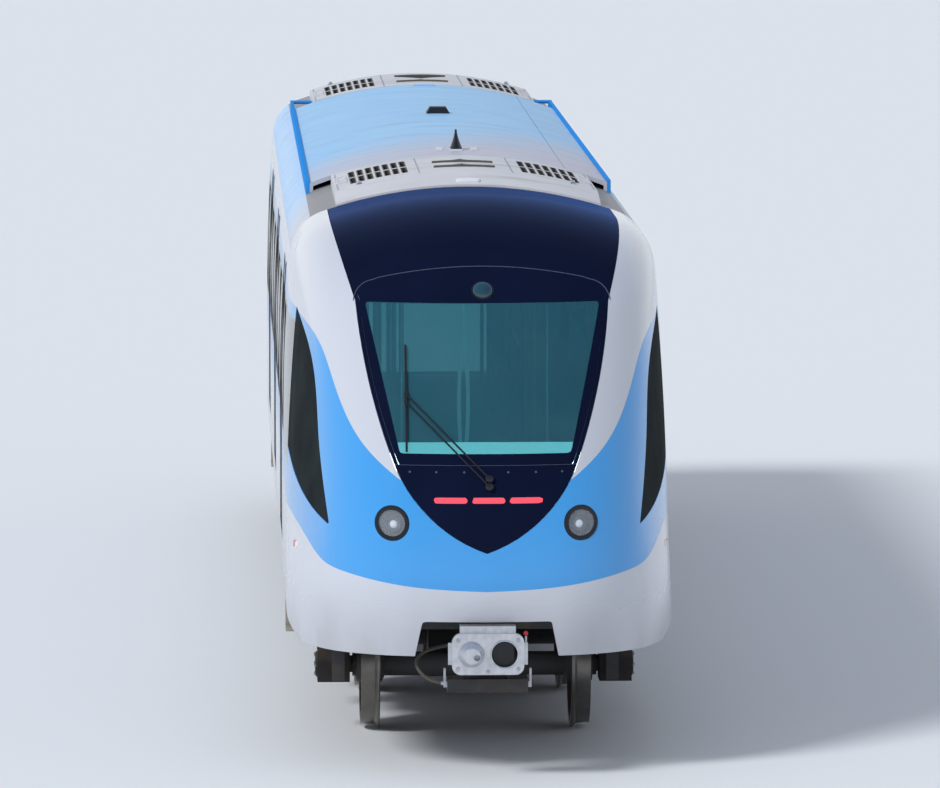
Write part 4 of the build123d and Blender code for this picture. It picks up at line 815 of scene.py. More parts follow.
def nose_paint(tree, place):
    """Blue where the nose's own blue attribute is positive, and silver elsewhere."""
    inside = add(tree, "Attribute", {}, attribute_name="blue").outputs["Fac"]
    blue = add(tree, "Math", {0: inside, 1: 0.0}, operation="GREATER_THAN")
    shade = add(
        tree, "Mix", {0: blue, 6: colour(SILVER_ENAMEL), 7: colour(BLUE_ENAMEL)}, data_type="RGBA",
    ).outputs[2]
    return window_band(tree, place, shade)


def saloon_paint(tree, place):
    """Silver below, then blue up to the cantrail with the window band in it, then silver. Faces
    that look inwards, to the middle of the car or forward from the end wall, are lining."""
    height = add(tree, "SeparateXYZ", {0: place}).outputs["Z"]
    blue = between(tree, height, BLUE_FOOT, BLUE_TOP)
    shade = add(
        tree, "Mix", {0: blue, 6: colour(SILVER_ENAMEL), 7: colour(BLUE_ENAMEL)}, data_type="RGBA",
    ).outputs[2]
    shade = window_band(tree, place, shade)
    facing = add(tree, "SeparateXYZ", {0: add(tree, "NewGeometry", {}).outputs["Normal"]}).outputs
    inward = add(
        tree, "Math", {0: facing["X"], 1: add(tree, "SeparateXYZ", {0: place}).outputs["X"]},
        operation="MULTIPLY",
    )
    inside = add(
        tree, "Math",
        {
            0: add(tree, "Math", {0: inward, 1: -0.2}, operation="LESS_THAN"),
            1: add(tree, "Math", {0: facing["Y"], 1: -0.7}, operation="LESS_THAN"),
        },
        operation="MAXIMUM",
    )
    return add(tree, "Mix", {0: inside, 6: shade, 7: colour(LINING_GREY)}, data_type="RGBA").outputs[2]


nose_enamel = enamel("nose_coach_enamel", nose_paint)
saloon_enamel = enamel("saloon_coach_enamel", saloon_paint)

# %% Nose shell
GAP = 0.002
WALL = 0.02
WIDTH_STEPS = (17, 25, 29, 15)
LENGTH_STEPS = (20, 28, 36, 32, 20, 6)
steps_w = [np.linspace(k, k + 1, n, endpoint=False) for k, n in enumerate(WIDTH_STEPS)]
steps_w = np.append(np.concatenate(steps_w), len(WIDTH_STEPS))
steps_w = np.concatenate((-steps_w[:0:-1], steps_w))
steps_v = [np.linspace(k, k + 1, n, endpoint=False) for k, n in enumerate(LENGTH_STEPS)]
steps_v = np.append(np.concatenate(steps_v), len(LENGTH_STEPS))
nose_patch = patch_of(steps_w, steps_v)

shell_patch = nose_patch
for cut in (mask_field, quarter_field, lamp_field, gap_field):
    shell_patch = clip(shell_patch, lambda points: -cut(points) - GAP)
shell_patch = clip(shell_patch, lambda points: points[:, 2] - SKIRT_BOTTOM)
nose_shell = dress(
    "nose_moulding", wall(shell_patch, 0, WALL), nose_enamel, stands_for=("nose_shell",)
)
with_field(nose_shell, "blue", blue_field)

# %% [markdown]
# ## Places on the nose
#
# Lamps, screws, the wiper and the camera's dome sit at a known X and Z seen from the front, so
# their place on the surface has to be found backwards. Newton's rule does that quickly: start
# from the nearest point of a coarse grid, and move by the miss over the surface's slopes.


# %% Places on the nose
def places_at(x, z, step=1e-4):
    """Places (w, v) whose points have this X and Z: eight of Newton's steps, each of which
    solves two lines in two unknowns."""
    x, z = np.broadcast_arrays(np.asarray(x, float).ravel(), np.asarray(z, float).ravel())
    coarse = np.stack(np.meshgrid(np.linspace(-3, 3, 49), np.linspace(0, 5, 61)), -1).reshape(-1, 2)
    known = nose_point(*coarse.T)
    off = (known[:, 0] - x[:, None]) ** 2 + (known[:, 2] - z[:, None]) ** 2
    w, v = coarse[off.argmin(1)].T
    for _ in range(8):
        here = nose_point(w, v)
        along = (nose_point(w + step, v) - here) / step
        onward = (nose_point(w, v + step) - here) / step
        miss_x, miss_z = x - here[:, 0], z - here[:, 2]
        rule = along[:, 0] * onward[:, 2] - onward[:, 0] * along[:, 2]
        w = w + (miss_x * onward[:, 2] - miss_z * onward[:, 0]) / rule
        v = v + (miss_z * along[:, 0] - miss_x * along[:, 2]) / rule
    return w, v


def on_nose(x, z, lift=0.0):
    """Points at X and Z on the nose, moved straight out of it by lift, and their directions out."""
    w, v = places_at(x, z)
    out = nose_out(w, v)
    return nose_point(w, v) + out * np.reshape(lift, (-1, 1)), out


def dished(centre, profile, steps=64):
    """A dish set in the nose. Its profile's columns are radius, seen from the front, and depth
    below the skin along the one direction straight out at the centre."""
    radius, depth = np.asarray(profile, float).T
    turn = np.linspace(0, 2 * np.pi, steps, endpoint=False)
    x = centre[0] + radius[:, None] * np.cos(turn)
    z = centre[1] + radius[:, None] * np.sin(turn)
    skin = nose_point(*places_at(x, z)).reshape(len(radius), steps, 3)
    out = nose_out(*places_at(*centre))
    return stacked(skin - out * depth[:, None, None])


found, _ = on_nose(LAMP_X, LAMP_Z)
print("lamp's middle on the skin", found.round(3).tolist())

# %% [markdown]
# ## Mask and windscreen
#
# Round the windscreen lies a navy panel, lacquered to the gloss of glass. It is three panels in
# truth: one below the screen with the light bars, the screen's own dark border with its rounded
# top, and a hood up to the roof. They are cut from the same surface with narrow seams between.

# %% Navy lacquer and glass
# Deep navy under clear lacquer: nearly black, with a blue sheen where it turns away
lacquer, tree, shader, place = start("navy_gloss_lacquer")
peel = add(tree, "Bump", {"Height": cloudy(tree, place, 45.0, 2.0), "Strength": 0.02, "Distance": 0.003})
haze = add(tree, "MapRange", {"Value": cloudy(tree, place, 2.4, 5.0), "To Min": 0.10, "To Max": 0.20})
navy = add(
    tree, "Mix", {0: cloudy(tree, place, 1.5, 3.0), 6: colour(NAVY_LACQUER), 7: colour("#121a36")},
    data_type="RGBA",
).outputs[2]
finish_with(
    tree, shader, Base_Color=navy, Roughness=haze, Normal=peel,
    Specular_IOR_Level=0.0, Coat_Weight=0.05, Coat_Roughness=0.05,
    Sheen_Weight=0.85, Sheen_Roughness=0.20, Sheen_Tint=colour("#5a8ae2"),
)


def pane_glass(name, tint, body, share, gloss, mirror):
    """Tinted safety glass: a clear layer that tints what is behind it, mixed with a dark gloss
    that stands for the glass's own colour and mirror. A faint film of dust drifts over it."""
    made, tree, shader, place = start(name)
    film = cloudy(tree, place, 2.2, 5.0)
    shade = add(
        tree, "Mix",
        {
            0: add(tree, "Math", {0: film, 1: 0.10}, operation="MULTIPLY"), 6: colour(body),
            7: colour("#9fb4ba"),
        },
        data_type="RGBA",
    ).outputs[2]
    rough = add(tree, "MapRange", {"Value": film, "To Min": 0.02, "To Max": 0.08})
    finish_with(
        tree, shader, Base_Color=shade, Roughness=rough, Specular_IOR_Level=mirror,
        Coat_Weight=gloss, Coat_Roughness=0.02,
    )
    clear = add(tree, "BsdfTransparent", {"Color": colour(tint)})
    both = add(tree, "MixShader", {0: share, 1: clear, 2: shader})
    tree.links.new(both.outputs[0], tree.nodes["Material Output"].inputs["Surface"])
    return made


# Laminated teal glass that lets the inside through, and two dark tints that hardly do
screen_glass = pane_glass("teal_laminated_glass", "#a6dade", "#1f5c6c", 0.60, 0.15, 0.4)
side_glass = pane_glass("dark_tinted_glass", "#5a6a74", "#06090d", 0.80, 0.0, 0.30)
quarter_glass = pane_glass("dark_quarter_glass", "#4a5860", "#06080b", 0.90, 0.04, 0.0)

# %% Mask panels
SEAM = 0.004
SEAM_LOW = 2.128
PANE_INSET = 0.030
# The border's rounded top: its crown, how that falls towards the sides, and each corner's arc
CREST_TOP, CREST_FALL = 3.418, 0.155
CREST_CORNER, CREST_RADIUS = (0.735, 3.170), 0.155
BORDER_SIDE, BORDER_LEAN = (0.875, 3.188), 0.17


def crest_field(points):
    """Below the border's rounded top: under the crown's arc and inside a rounded side."""
    x, z = np.abs(points[:, 0]), points[:, 2]
    under = CREST_TOP - CREST_FALL * x**2 - z
    corner = CREST_RADIUS - np.hypot(x - CREST_CORNER[0], z - CREST_CORNER[1])
    beside = BORDER_SIDE[0] - BORDER_LEAN * (BORDER_SIDE[1] - z) - x
    in_corner = (x > CREST_CORNER[0]) & (z > CREST_CORNER[1])
    return np.where(in_corner, np.minimum(corner, under), np.minimum(under, beside))


def pane_field(points):
    """Inside the windscreen with its dark border."""
    above = points[:, 2] - SEAM_LOW - SEAM / 2
    return np.min([mask_field(points) - PANE_INSET, above, crest_field(points)], axis=0)


mask_patch = clip(nose_patch, lambda points: mask_field(points) - GAP)
chin = clip(mask_patch, lambda points: SEAM_LOW - SEAM / 2 - points[:, 2])
chin = clip(chin, lambda points: -bar_field(points) - GAP / 2)
hood = clip(mask_patch, lambda points: points[:, 2] - SEAM_LOW - SEAM / 2)
hood = clip(hood, lambda points: -pane_field(points) - SEAM)
border = clip(clip(mask_patch, pane_field), lambda points: -screen_field(points))
clear = clip(mask_patch, lambda points: screen_field(points) - GAP / 4)
PANE_SINK = 0.001
panels = join(wall(chin, 0, WALL), wall(hood, 0, WALL), wall(border, -PANE_SINK, WALL / 2))
dress("mask_panels", panels, lacquer, stands_for=("nose_mask",))
pane = wall(clear, -PANE_SINK, WALL / 2)
dress("windscreen_pane", pane, screen_glass, stands_for=("windscreen",))

quarter = clip(nose_patch, quarter_field)
pane = wall(quarter, -3 * PANE_SINK, WALL / 2)
dress("quarter_panes", pane, quarter_glass, stands_for=("quarter_windows",))

# %% Seam bead and screws
# Moulded rubber: a thin dull line between two glossy panels
bead_rubber = two_tone(
    "black_seam_rubber", ("#3a4056", "#555d75"), (60.0, 3.0), bump=(0.15, 0.001), Roughness=0.5,
)
crest_x = np.linspace(-CREST_CORNER[0] - 0.02, CREST_CORNER[0] + 0.02, 61)
crest_z = CREST_TOP - CREST_FALL * crest_x**2
bend = np.linspace(0.15, 1.45, 9)
corner_x = CREST_CORNER[0] + CREST_RADIUS * np.sin(bend)
corner_z = CREST_CORNER[1] + CREST_RADIUS * np.cos(bend)
inner = np.abs(crest_x) < CREST_CORNER[0] - 0.03
line_x = np.concatenate((-corner_x[::-1], crest_x[inner], corner_x))
line_z = np.minimum(
    np.concatenate((corner_z[::-1], crest_z[inner], corner_z)), CREST_TOP - CREST_FALL * line_x**2
)
spots, outs = on_nose(line_x, line_z, 0.001)
dress("border_seam_bead", sweep(spots, ring(0.0035, 8), outs), bead_rubber)

# A rubber strip closes the gap below and beside the border, a little below the skin
STRIP_RADIUS, STRIP_SINK = 0.005, 0.006
tall = (mask_right[:, 1] > SEAM_LOW) & (mask_right[:, 1] < BORDER_SIDE[1])
side_line = mask_right[tall]
ahead = np.gradient(side_line, axis=0)
ahead /= np.linalg.norm(ahead, axis=1, keepdims=True)
side_line = side_line + np.stack((-ahead[:, 1], ahead[:, 0]), 1) * (PANE_INSET + SEAM / 2)
foot_x = np.linspace(-side_line[0, 0], side_line[0, 0], 41)
foot_line = np.stack((foot_x, np.full_like(foot_x, SEAM_LOW)), 1)
strips = []
for line in (side_line, side_line * (-1, 1), foot_line):
    spots, outs = on_nose(line[:, 0], line[:, 1], -STRIP_SINK)
    strips.append(sweep(spots, ring(STRIP_RADIUS, 8), outs))
dress("border_seam_strip", join(*strips), bead_rubber)

SCREW_PLACES = np.array((-0.52, -0.34, -0.15, 0.15, 0.34, 0.52))
SCREW_HEAD = ((-0.003, 0.008), (0.0015, 0.008), (0.003, 0.005))
spots, outs = on_nose(SCREW_PLACES, np.full(len(SCREW_PLACES), SEAM_LOW - 0.045))
dress("mask_screws", turned(SCREW_HEAD, spots, outs, 12), bead_rubber)

# %% [markdown]
# ## Lamps
#
# The three light bars are moulded red lenses with light behind them. Each headlamp is a black
# bezel, a bowl of bright metal with fine radial flutes, a raised ring and a glass bulb, under a
# clear lens that follows the nose. All its rings lie at one depth below the skin, so the lamp
# leans with the nose as a real one does.

# %% Light bars
# Moulded polycarbonate, lit from behind: a glowing red with ribs 12 mm apart
BAR_RIB = 0.012
red_lens, tree, shader, place = start("red_polycarbonate")
ribs = add(
    tree, "Math",
    {
        0: add(
            tree, "Math", {0: add(tree, "SeparateXYZ", {0: place}).outputs["X"], 1: 2 * np.pi / BAR_RIB},
            operation="MULTIPLY",
        ),
    },
    operation="SINE",
)
finish_with(
    tree, shader, Base_Color=colour("#e23b4c"), Roughness=0.22, Coat_Weight=0.5,
    Emission_Color=colour("#ff5968"), Emission_Strength=0.55,
    Normal=add(tree, "Bump", {"Height": ribs, "Strength": 0.3, "Distance": 0.001}),
)
bars = clip(nose_patch, bar_field)
dress("light_bars", wall(bars, GAP / 2, WALL), red_lens, stands_for=("tail_bars",))

# %% Headlamps
LAMPS = ((-LAMP_X, LAMP_Z), (LAMP_X, LAMP_Z))
BEZEL_RADIUS, BOWL_RADIUS = LAMP_RADIUS - 0.010, LAMP_RADIUS - 0.017
# columns: sideways, outwards
BEZEL = (
    (0.010, -0.012), (0.010, 0.001), (0.006, 0.005), (-0.015, 0.005), (-0.019, 0.003), (-0.019, 0.002),
    (-0.009, -0.012),
)
# columns: radius, depth below the skin
BOWL = (
    (0.010, 0.056), (0.070, 0.056), (BOWL_RADIUS, 0.020), (BOWL_RADIUS, 0.007), (0.096, 0.007),
    (0.092, 0.018), (0.080, 0.031), (0.066, 0.040), (0.052, 0.045), (0.010, 0.047),
)
LAMP_RING = ((0.041, 0.048), (0.051, 0.048), (0.052, 0.024), (0.048, 0.020), (0.043, 0.022), (0.041, 0.030))
BULB = (
    (0.004, 0.048), (0.028, 0.048), (0.028, 0.036), (0.025, 0.027), (0.019, 0.020), (0.011, 0.016),
    (0.004, 0.015),
)
LENS = (
    (0.010, 0.005), (0.060, 0.005), (BOWL_RADIUS, 0.005), (BOWL_RADIUS, 0.001), (0.060, -0.001),
    (0.010, -0.0015),
)

# Pressed aluminium: grey to the eye, with radial flutes that catch the light
FLUTES = 28.0
mirror, tree, shader, place = start("fluted_lamp_reflector")
parts = add(tree, "SeparateXYZ", {0: place}).outputs
aside = add(
    tree, "Math", {0: add(tree, "Math", {0: parts["X"]}, operation="ABSOLUTE"), 1: LAMP_X},
    operation="SUBTRACT",
)
turn = add(
    tree, "Math", {0: add(tree, "Math", {0: parts["Z"], 1: LAMP_Z}, operation="SUBTRACT"), 1: aside},
    operation="ARCTAN2",
)
flutes = add(
    tree, "Math", {0: add(tree, "Math", {0: turn, 1: FLUTES}, operation="MULTIPLY")}, operation="SINE",
)
tint = add(
    tree, "Mix", {0: cloudy(tree, place, 18.0, 3.0), 6: colour("#66686e"), 7: colour("#97999e")},
    data_type="RGBA",
).outputs[2]
finish_with(
    tree, shader, Base_Color=tint, Metallic=0.55, Roughness=0.38,
    Normal=add(tree, "Bump", {"Height": flutes, "Strength": 0.6, "Distance": 0.004}),
)

# Moulded ABS with a fine grain: a dull black ring round the bright bowl
bezel_black = two_tone(
    "moulded_black_bezel", ("#0e0f13", "#1b1d23"), (90.0, 3.0), bump=(0.2, 0.0008), Roughness=0.42,
)

# Frosted glass: a soft white spot in the middle of the lamp
bulb_glass, tree, shader, place = start("frosted_bulb_glass")
glow = add(
    tree, "MapRange", {"Value": cloudy(tree, place, 30.0, 2.0), "From Min": 0.2, "From Max": 0.8},
    interpolation_type="SMOOTHSTEP",
)
finish_with(
    tree, shader,
    Base_Color=add(
        tree, "Mix", {0: glow, 6: colour("#dfe4ea"), 7: colour("#ffffff")}, data_type="RGBA",
    ).outputs[2],
    Roughness=0.18, Coat_Weight=0.6, Emission_Color=colour("#ffffff"), Emission_Strength=0.12,
)

# Clear polycarbonate: hardly seen but for its gloss
lens_glass, tree, shader, place = start("clear_polycarbonate")
scratch = cloudy(tree, place, 30.0, 4.0)
finish_with(
    tree, shader, Base_Color=colour("#dfe6ee"), Roughness=0.05,
    Normal=add(tree, "Bump", {"Height": scratch, "Strength": 0.03, "Distance": 0.001}),
)
see_through = add(tree, "BsdfTransparent", {"Color": colour("#f4f7fa")})
both = add(tree, "MixShader", {0: 0.12, 1: see_through, 2: shader})
tree.links.new(both.outputs[0], tree.nodes["Material Output"].inputs["Surface"])


def bezel(lamp, steps=72):
    """The bezel's profile swept round its circle on the nose."""
    turn = np.linspace(0, 2 * np.pi, steps, endpoint=False)
    x, z = lamp[0] + BEZEL_RADIUS * np.cos(turn), lamp[1] + BEZEL_RADIUS * np.sin(turn)
    spots, outs = on_nose(x, z)
    return sweep(spots, BEZEL, outs, closed=True)


dress(
    "headlamp_reflectors", join(*[dished(lamp, BOWL, 96) for lamp in LAMPS]), mirror,
    stands_for=("headlamps",),
)
dress("headlamp_bezels", join(*map(bezel, LAMPS)), bezel_black)
dress("headlamp_rings", join(*[dished(lamp, LAMP_RING) for lamp in LAMPS]), mirror)
dress("headlamp_bulbs", join(*[dished(lamp, BULB) for lamp in LAMPS]), bulb_glass)
lenses = join(*[dished(lamp, LENS) for lamp in LAMPS])
dress("headlamp_lenses", lenses, lens_glass, stands_for=("lamp_lenses",))

# %% Camera dome
DOME_PLACE, DOME_HALF, DOME_RISE = (0.0, 3.268), (0.070, 0.050), 0.030
turn = np.linspace(0, 2 * np.pi, 48, endpoint=False)
fall = np.linspace(np.pi / 2, 0.08, 11)
share = np.concatenate(((0.2, 1.0), np.sin(fall)))
height = np.concatenate(((-0.008, -0.008), DOME_RISE * np.cos(fall)))
dome_x = DOME_PLACE[0] + DOME_HALF[0] * share[:, None] * np.cos(turn)
dome_z = DOME_PLACE[1] + DOME_HALF[1] * share[:, None] * np.sin(turn)
skin, out = on_nose(dome_x, dome_z)
dome_rings = skin.reshape(len(share), -1, 3) + out.reshape(len(share), -1, 3) * height[:, None, None]

# Smoked acrylic: dark, smooth and shiny
dome_glass = two_tone(
    "smoked_camera_dome", ("#1a333e", "#2b4d5a"), (12.0, 3.0), Roughness=0.14, Coat_Weight=0.4,
    Coat_Roughness=0.03,
)
dress("camera_dome_cover", stacked(dome_rings), dome_glass, stands_for=("camera_dome",))
rim, rim_out = on_nose(
    DOME_PLACE[0] + (DOME_HALF[0] + 0.004) * np.cos(turn),
    DOME_PLACE[1] + (DOME_HALF[1] + 0.004) * np.sin(turn),
)
dress("camera_dome_rim", sweep(rim, ring(0.005, 8), rim_out, closed=True), bezel_black)

# %% [markdown]
# ## Wiper
#
# A pantograph wiper has two parallel arms that keep its blade upright as it swings. The arms are
# tubes that clear the glass by a finger's width, the blade is a stiff back with a rubber lip on
# the glass, and both ends turn on pins.

# %% Wiper
PIVOT, GRIP, BLADE_X, BLADE_Z = (0.020, 2.010), (-0.537, 2.560), -0.537, (2.208, 2.905)
ARM_APART, ARM_LIFT, BLADE_LIFT = 0.026, 0.022, 0.014
# Powder coat on steel: black with a soft sheen and no mirror
satin_black = two_tone(
    "satin_black_powder_coat", ("#101116", "#1e2026"), (140.0, 4.0), bump=(0.25, 0.0006), Roughness=0.45
)


def on_glass(start_at, end_at, lift, count=24):
    """Evenly spaced points between two places seen from the front, moved out of the glass."""
    share = np.linspace(0, 1, count)[:, None]
    places = np.array(start_at) + share * (np.array(end_at) - np.array(start_at))
    return on_nose(places[:, 0], places[:, 1], lift)


pieces = []
for lift in (-ARM_APART, ARM_APART):
    path, out = on_glass((PIVOT[0], PIVOT[1] + lift), (GRIP[0], GRIP[1] + lift), ARM_LIFT)
    pieces.append(sweep(path, ring(0.0065, 10) * (1.0, 0.7), out))
path, out = on_glass((BLADE_X, BLADE_Z[0]), (BLADE_X, BLADE_Z[1]), BLADE_LIFT, 32)
# columns: sideways, outwards
BLADE = (
    (0.007, -0.004), (0.008, 0.003), (0.004, 0.007), (-0.004, 0.007), (-0.008, 0.003), (-0.007, -0.004),
)
LIP = ((0.0045, -0.012), (0.0045, 0.0), (-0.0045, 0.0), (-0.0015, -0.012))
pieces.append(sweep(path, BLADE, out))
pieces.append(sweep(path[1:-1], LIP, out[1:-1]))
path, out = on_glass((GRIP[0], GRIP[1] - 0.045), (GRIP[0], GRIP[1] + 0.045), BLADE_LIFT + 0.006, 6)
pieces.append(sweep(path, ring(0.013, 12) * (1.0, 0.8), out))
PIN = ((-0.016, 0.012), (0.008, 0.012), (0.011, 0.009))
BOSS = ((-0.024, 0.028), (0.000, 0.028), (0.008, 0.022), (0.011, 0.013))
pins = [(GRIP[0], GRIP[1] - ARM_APART), (GRIP[0], GRIP[1] + ARM_APART)]
spots, outs = on_nose(*np.transpose(pins), ARM_LIFT)
pieces.append(turned(PIN, spots, outs, 16))
spots, outs = on_nose((PIVOT[0], PIVOT[0]), (PIVOT[1] - ARM_APART, PIVOT[1] + ARM_APART), ARM_LIFT)
pieces.append(turned(BOSS, spots, outs, 24))
dress("pantograph_wiper", join(*pieces), satin_black, stands_for=("wiper",))

# %% Marker lamps
MARKER_S, MARKER_RIB = 1.270, 0.006
# Moulded lenses: shiny, with ribs 6 mm apart, white in front and red behind
marker, tree, shader, place = start("marker_lamp_lenses")
parts = add(tree, "SeparateXYZ", {0: place}).outputs
ribs = add(
    tree, "Math", {0: add(tree, "Math", {0: parts["Z"], 1: 2 * np.pi / MARKER_RIB}, operation="MULTIPLY")},
    operation="SINE",
)
behind = add(tree, "Math", {0: parts["Y"], 1: TIP + MARKER_S}, operation="GREATER_THAN")
finish_with(
    tree, shader,
    Base_Color=add(
        tree, "Mix", {0: behind, 6: colour("#f1f1ec"), 7: colour("#d22f3c")}, data_type="RGBA",
    ).outputs[2],
    Roughness=0.2, Coat_Weight=0.5,
    Normal=add(tree, "Bump", {"Height": ribs, "Strength": 0.3, "Distance": 0.0008}),
)


def give(material, *names):
    """Puts a material on every slot of these nodes."""
    for name in names:
        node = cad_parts[name]
        if not node.material_slots:
            node.data.materials.append(material)
        for slot in node.material_slots:
            slot.material = material


give(marker, "marker_lamps")

# %% [markdown]
# ## Saloon sides
#
# The side walls, doors and panes are solids of the frame, because their openings are cut to
# size there. What they lack is rubber: each pane sits in a moulded gasket, each doorway has a
# seal round it and two leaves that meet in a soft pair of strips. All of it is a profile carried
# round a rounded outline that lies on the flank.

# %% Saloon sizes
DOOR_PLACES, DOOR_HALF, DOOR_FOOT, DOOR_TOP = (5.6, 10.3, 15.0), 0.750, 1.128, 3.128
PANE_Z, PANE_HEIGHT, PANE_CORNER = 2.450, 0.900, 0.090
WINDOW_WIDTH, WINDOW_POST = 1.360, 0.160
LEAF_WIDTH, LEAF_GAP, LEAF_PANE = 0.744, 0.004, 0.470
SIDES = (-1, 1)
END_WINDOWS = np.array(((4.3, 0.760), (16.64, WINDOW_WIDTH)))
between_doors = [
    ((front + back) / 2 + end * (WINDOW_WIDTH + WINDOW_POST) / 2, WINDOW_WIDTH)
    for front, back in zip(DOOR_PLACES, DOOR_PLACES[1:])
    for end in SIDES
]
windows = np.concatenate((END_WINDOWS, between_doors))
leaves = np.array(
    [(door + end * (LEAF_WIDTH + LEAF_GAP) / 2, LEAF_PANE) for door in DOOR_PLACES for end in SIDES],
)

down_flank = nose_point(np.linspace(1, 4, 400), np.full(400, float(LAST_HOOP)))


def flank_x(z):
    """X of the saloon's flank at a height, read from the nose's last arch."""
    return np.interp(z, down_flank[::-1, 2], down_flank[::-1, 0])


def on_flank(outline, side, lift):
    """Points of an outline of s and Z on a flank, moved out by lift."""
    s, z = np.asarray(outline).T
    return np.stack((side * (flank_x(z) + lift), TIP + s, z), 1)


def panel_outline(s, z, width, height, corner, steps=7):
    """A rounded rectangle of s and Z round a middle."""
    return rounded((s, z) + CORNERS * (width / 2, height / 2), corner, steps)


# %% Gaskets and door seals
GASKET = (
    (0.013, -0.006), (0.013, 0.000), (0.008, 0.003), (-0.008, 0.003), (-0.013, 0.000), (-0.013, -0.006),
)
SEAL = ((0.009, -0.006), (0.009, 0.000), (0.005, 0.002), (-0.005, 0.002), (-0.009, 0.000), (-0.009, -0.006))
# How deep below the flank the gaskets, the leaves' own gaskets and the door seals lie
GASKET_SINK, LEAF_SINK, SEAL_SINK = 0.003, 0.005, 0.002
# Moulded rubber under dust: matt black that greys in patches
seal_rubber = two_tone(
    "moulded_seal_rubber", ("#121316", "#2b2c2f"), (5.0, 5.0), grain=(120.0, 4.0), bump=(0.3, 0.0008),
    Roughness=0.62,
)

pieces = []
for side in SIDES:
    out = (side, 0, 0)
    for s, width in windows:
        line = panel_outline(s, PANE_Z, width, PANE_HEIGHT, PANE_CORNER)
        pieces.append(sweep(on_flank(line, side, -GASKET_SINK), GASKET, out, closed=True))
    for s, width in leaves:
        line = panel_outline(s, PANE_Z, width, PANE_HEIGHT, PANE_CORNER)
        pieces.append(sweep(on_flank(line, side, -LEAF_SINK), SEAL, out, closed=True))
dress("window_gaskets", join(*pieces), seal_rubber)

pieces = []
for side in SIDES:
    out = (side, 0, 0)
    for door in DOOR_PLACES:
        rises = np.linspace(DOOR_FOOT, DOOR_TOP, 25)
        for edge in (-DOOR_HALF, 0, DOOR_HALF):
            path = on_flank(np.stack((np.full_like(rises, door + edge), rises), 1), side, -SEAL_SINK)
            pieces.append(sweep(path, SEAL, out))
        for level in (DOOR_FOOT, DOOR_TOP):
            path = on_flank(
                ((door - DOOR_HALF, level), (door, level), (door + DOOR_HALF, level)), side, -SEAL_SINK,
            )
            pieces.append(sweep(path, SEAL, out))
dress("door_seals", join(*pieces), seal_rubber)

# %% Door sills, drip strips and locks
STEP_Z, DRIP_Z, DRIP_PAST, LOCK_Z = 1.112, 3.158, 0.06, 1.62
SILL_BAR = ((0.009, -0.030), (0.009, 0.000), (-0.009, 0.000), (-0.009, -0.030))
DRIP = ((0.010, -0.004), (0.010, 0.002), (0.002, 0.007), (-0.010, 0.001), (-0.010, -0.004))
LOCK = ((-0.006, 0.024), (0.001, 0.024), (0.003, 0.020), (0.003, 0.008), (0.0005, 0.006))
# Brushed stainless steel: bright, with lines along the brushing that spread its gloss
bright, tree, shader, place = start("brushed_stainless_steel")
lines = cloudy(tree, place, 30.0, 5.0, (1, 0.05, 6))
tint = add(tree, "Mix", {0: lines, 6: colour("#9a9da3"), 7: colour("#d4d6da")}, data_type="RGBA").outputs[2]
worn = add(tree, "MapRange", {"Value": lines, "To Min": 0.24, "To Max": 0.42})
finish_with(
    tree, shader, Base_Color=tint, Metallic=0.9, Roughness=worn,
    Normal=add(tree, "Bump", {"Height": lines, "Strength": 0.12, "Distance": 0.0006}),
)

pieces, gutters = [], []
for side in SIDES:
    out = (side, 0, 0)
    for door in DOOR_PLACES:
        ends = np.linspace(door - DOOR_HALF, door + DOOR_HALF, 5)
        path = on_flank(np.stack((ends, np.full_like(ends, STEP_Z)), 1), side, 0)
        pieces.append(sweep(path, SILL_BAR, out))
        ends = np.linspace(door - DOOR_HALF - DRIP_PAST, door + DOOR_HALF + DRIP_PAST, 5)
        path = on_flank(np.stack((ends, np.full_like(ends, DRIP_Z)), 1), side, 0)
        gutters.append(sweep(path, DRIP, out))
    spots = on_flank([(s, LOCK_Z) for s, _ in leaves], side, -LEAF_SINK)
    pieces.append(turned(LOCK, spots, out, 20))
dress("door_sills", join(*pieces), bright)
dress("drip_strips", join(*gutters), saloon_enamel)

# %% Glass and wall finishes
give(
    saloon_enamel, "side_wall_left", "side_wall_right", "door_leaves_left", "door_leaves_right",
    "skirts", "end_wall",
)
give(side_glass, "side_windows", "door_glass")

# %% [markdown]
# ## Roof
#
# From high up the roof is half of what one sees. The fairing is satin enamel that weather
# has bleached to grey-lilac at its front, the units beside it are sheet steel with grilles in
# painted shade, and the gutters are bright blue. The slots, vents and hatches are cut in the
# frame's solids, and the finish paints shade into them, dark where a point lies below the top sheet.


# %% Roof finishes
def streaked(name, pale, deep, dirt, rough=0.42, amount=0.35):
    """Satin enamel under the weather: two tones in wide clouds, and dirt that rain has drawn
    out along X. Gives the tree and the colour socket too, for what comes over it."""
    made, tree, shader, place = start(name)
    shade = add(
        tree, "Mix", {0: cloudy(tree, place, 1.6, 4.0), 6: colour(pale), 7: colour(deep)}, data_type="RGBA",
    ).outputs[2]
    runs = cloudy(tree, place, 5.0, 3.0, (0.3, 1, 1))
    film = add(
        tree, "Math",
        {
            0: add(
                tree, "MapRange", {"Value": runs, "From Min": 0.45, "From Max": 0.85},
                interpolation_type="SMOOTHSTEP",
            ),
            1: amount,
        },
        operation="MULTIPLY",
    )
    shade = add(tree, "Mix", {0: film, 6: shade, 7: colour(dirt)}, data_type="RGBA").outputs[2]
    grain = add(
        tree, "Bump", {"Height": cloudy(tree, place, 80.0, 3.0), "Strength": 0.08, "Distance": 0.0015},
    )
    gloss = add(tree, "MapRange", {"Value": runs, "To Min": rough * 0.85, "To Max": rough * 1.25})
    finish_with(tree, shader, Roughness=gloss, Normal=grain, Specular_IOR_Level=0.2)
    return made, tree, shader, place, shade


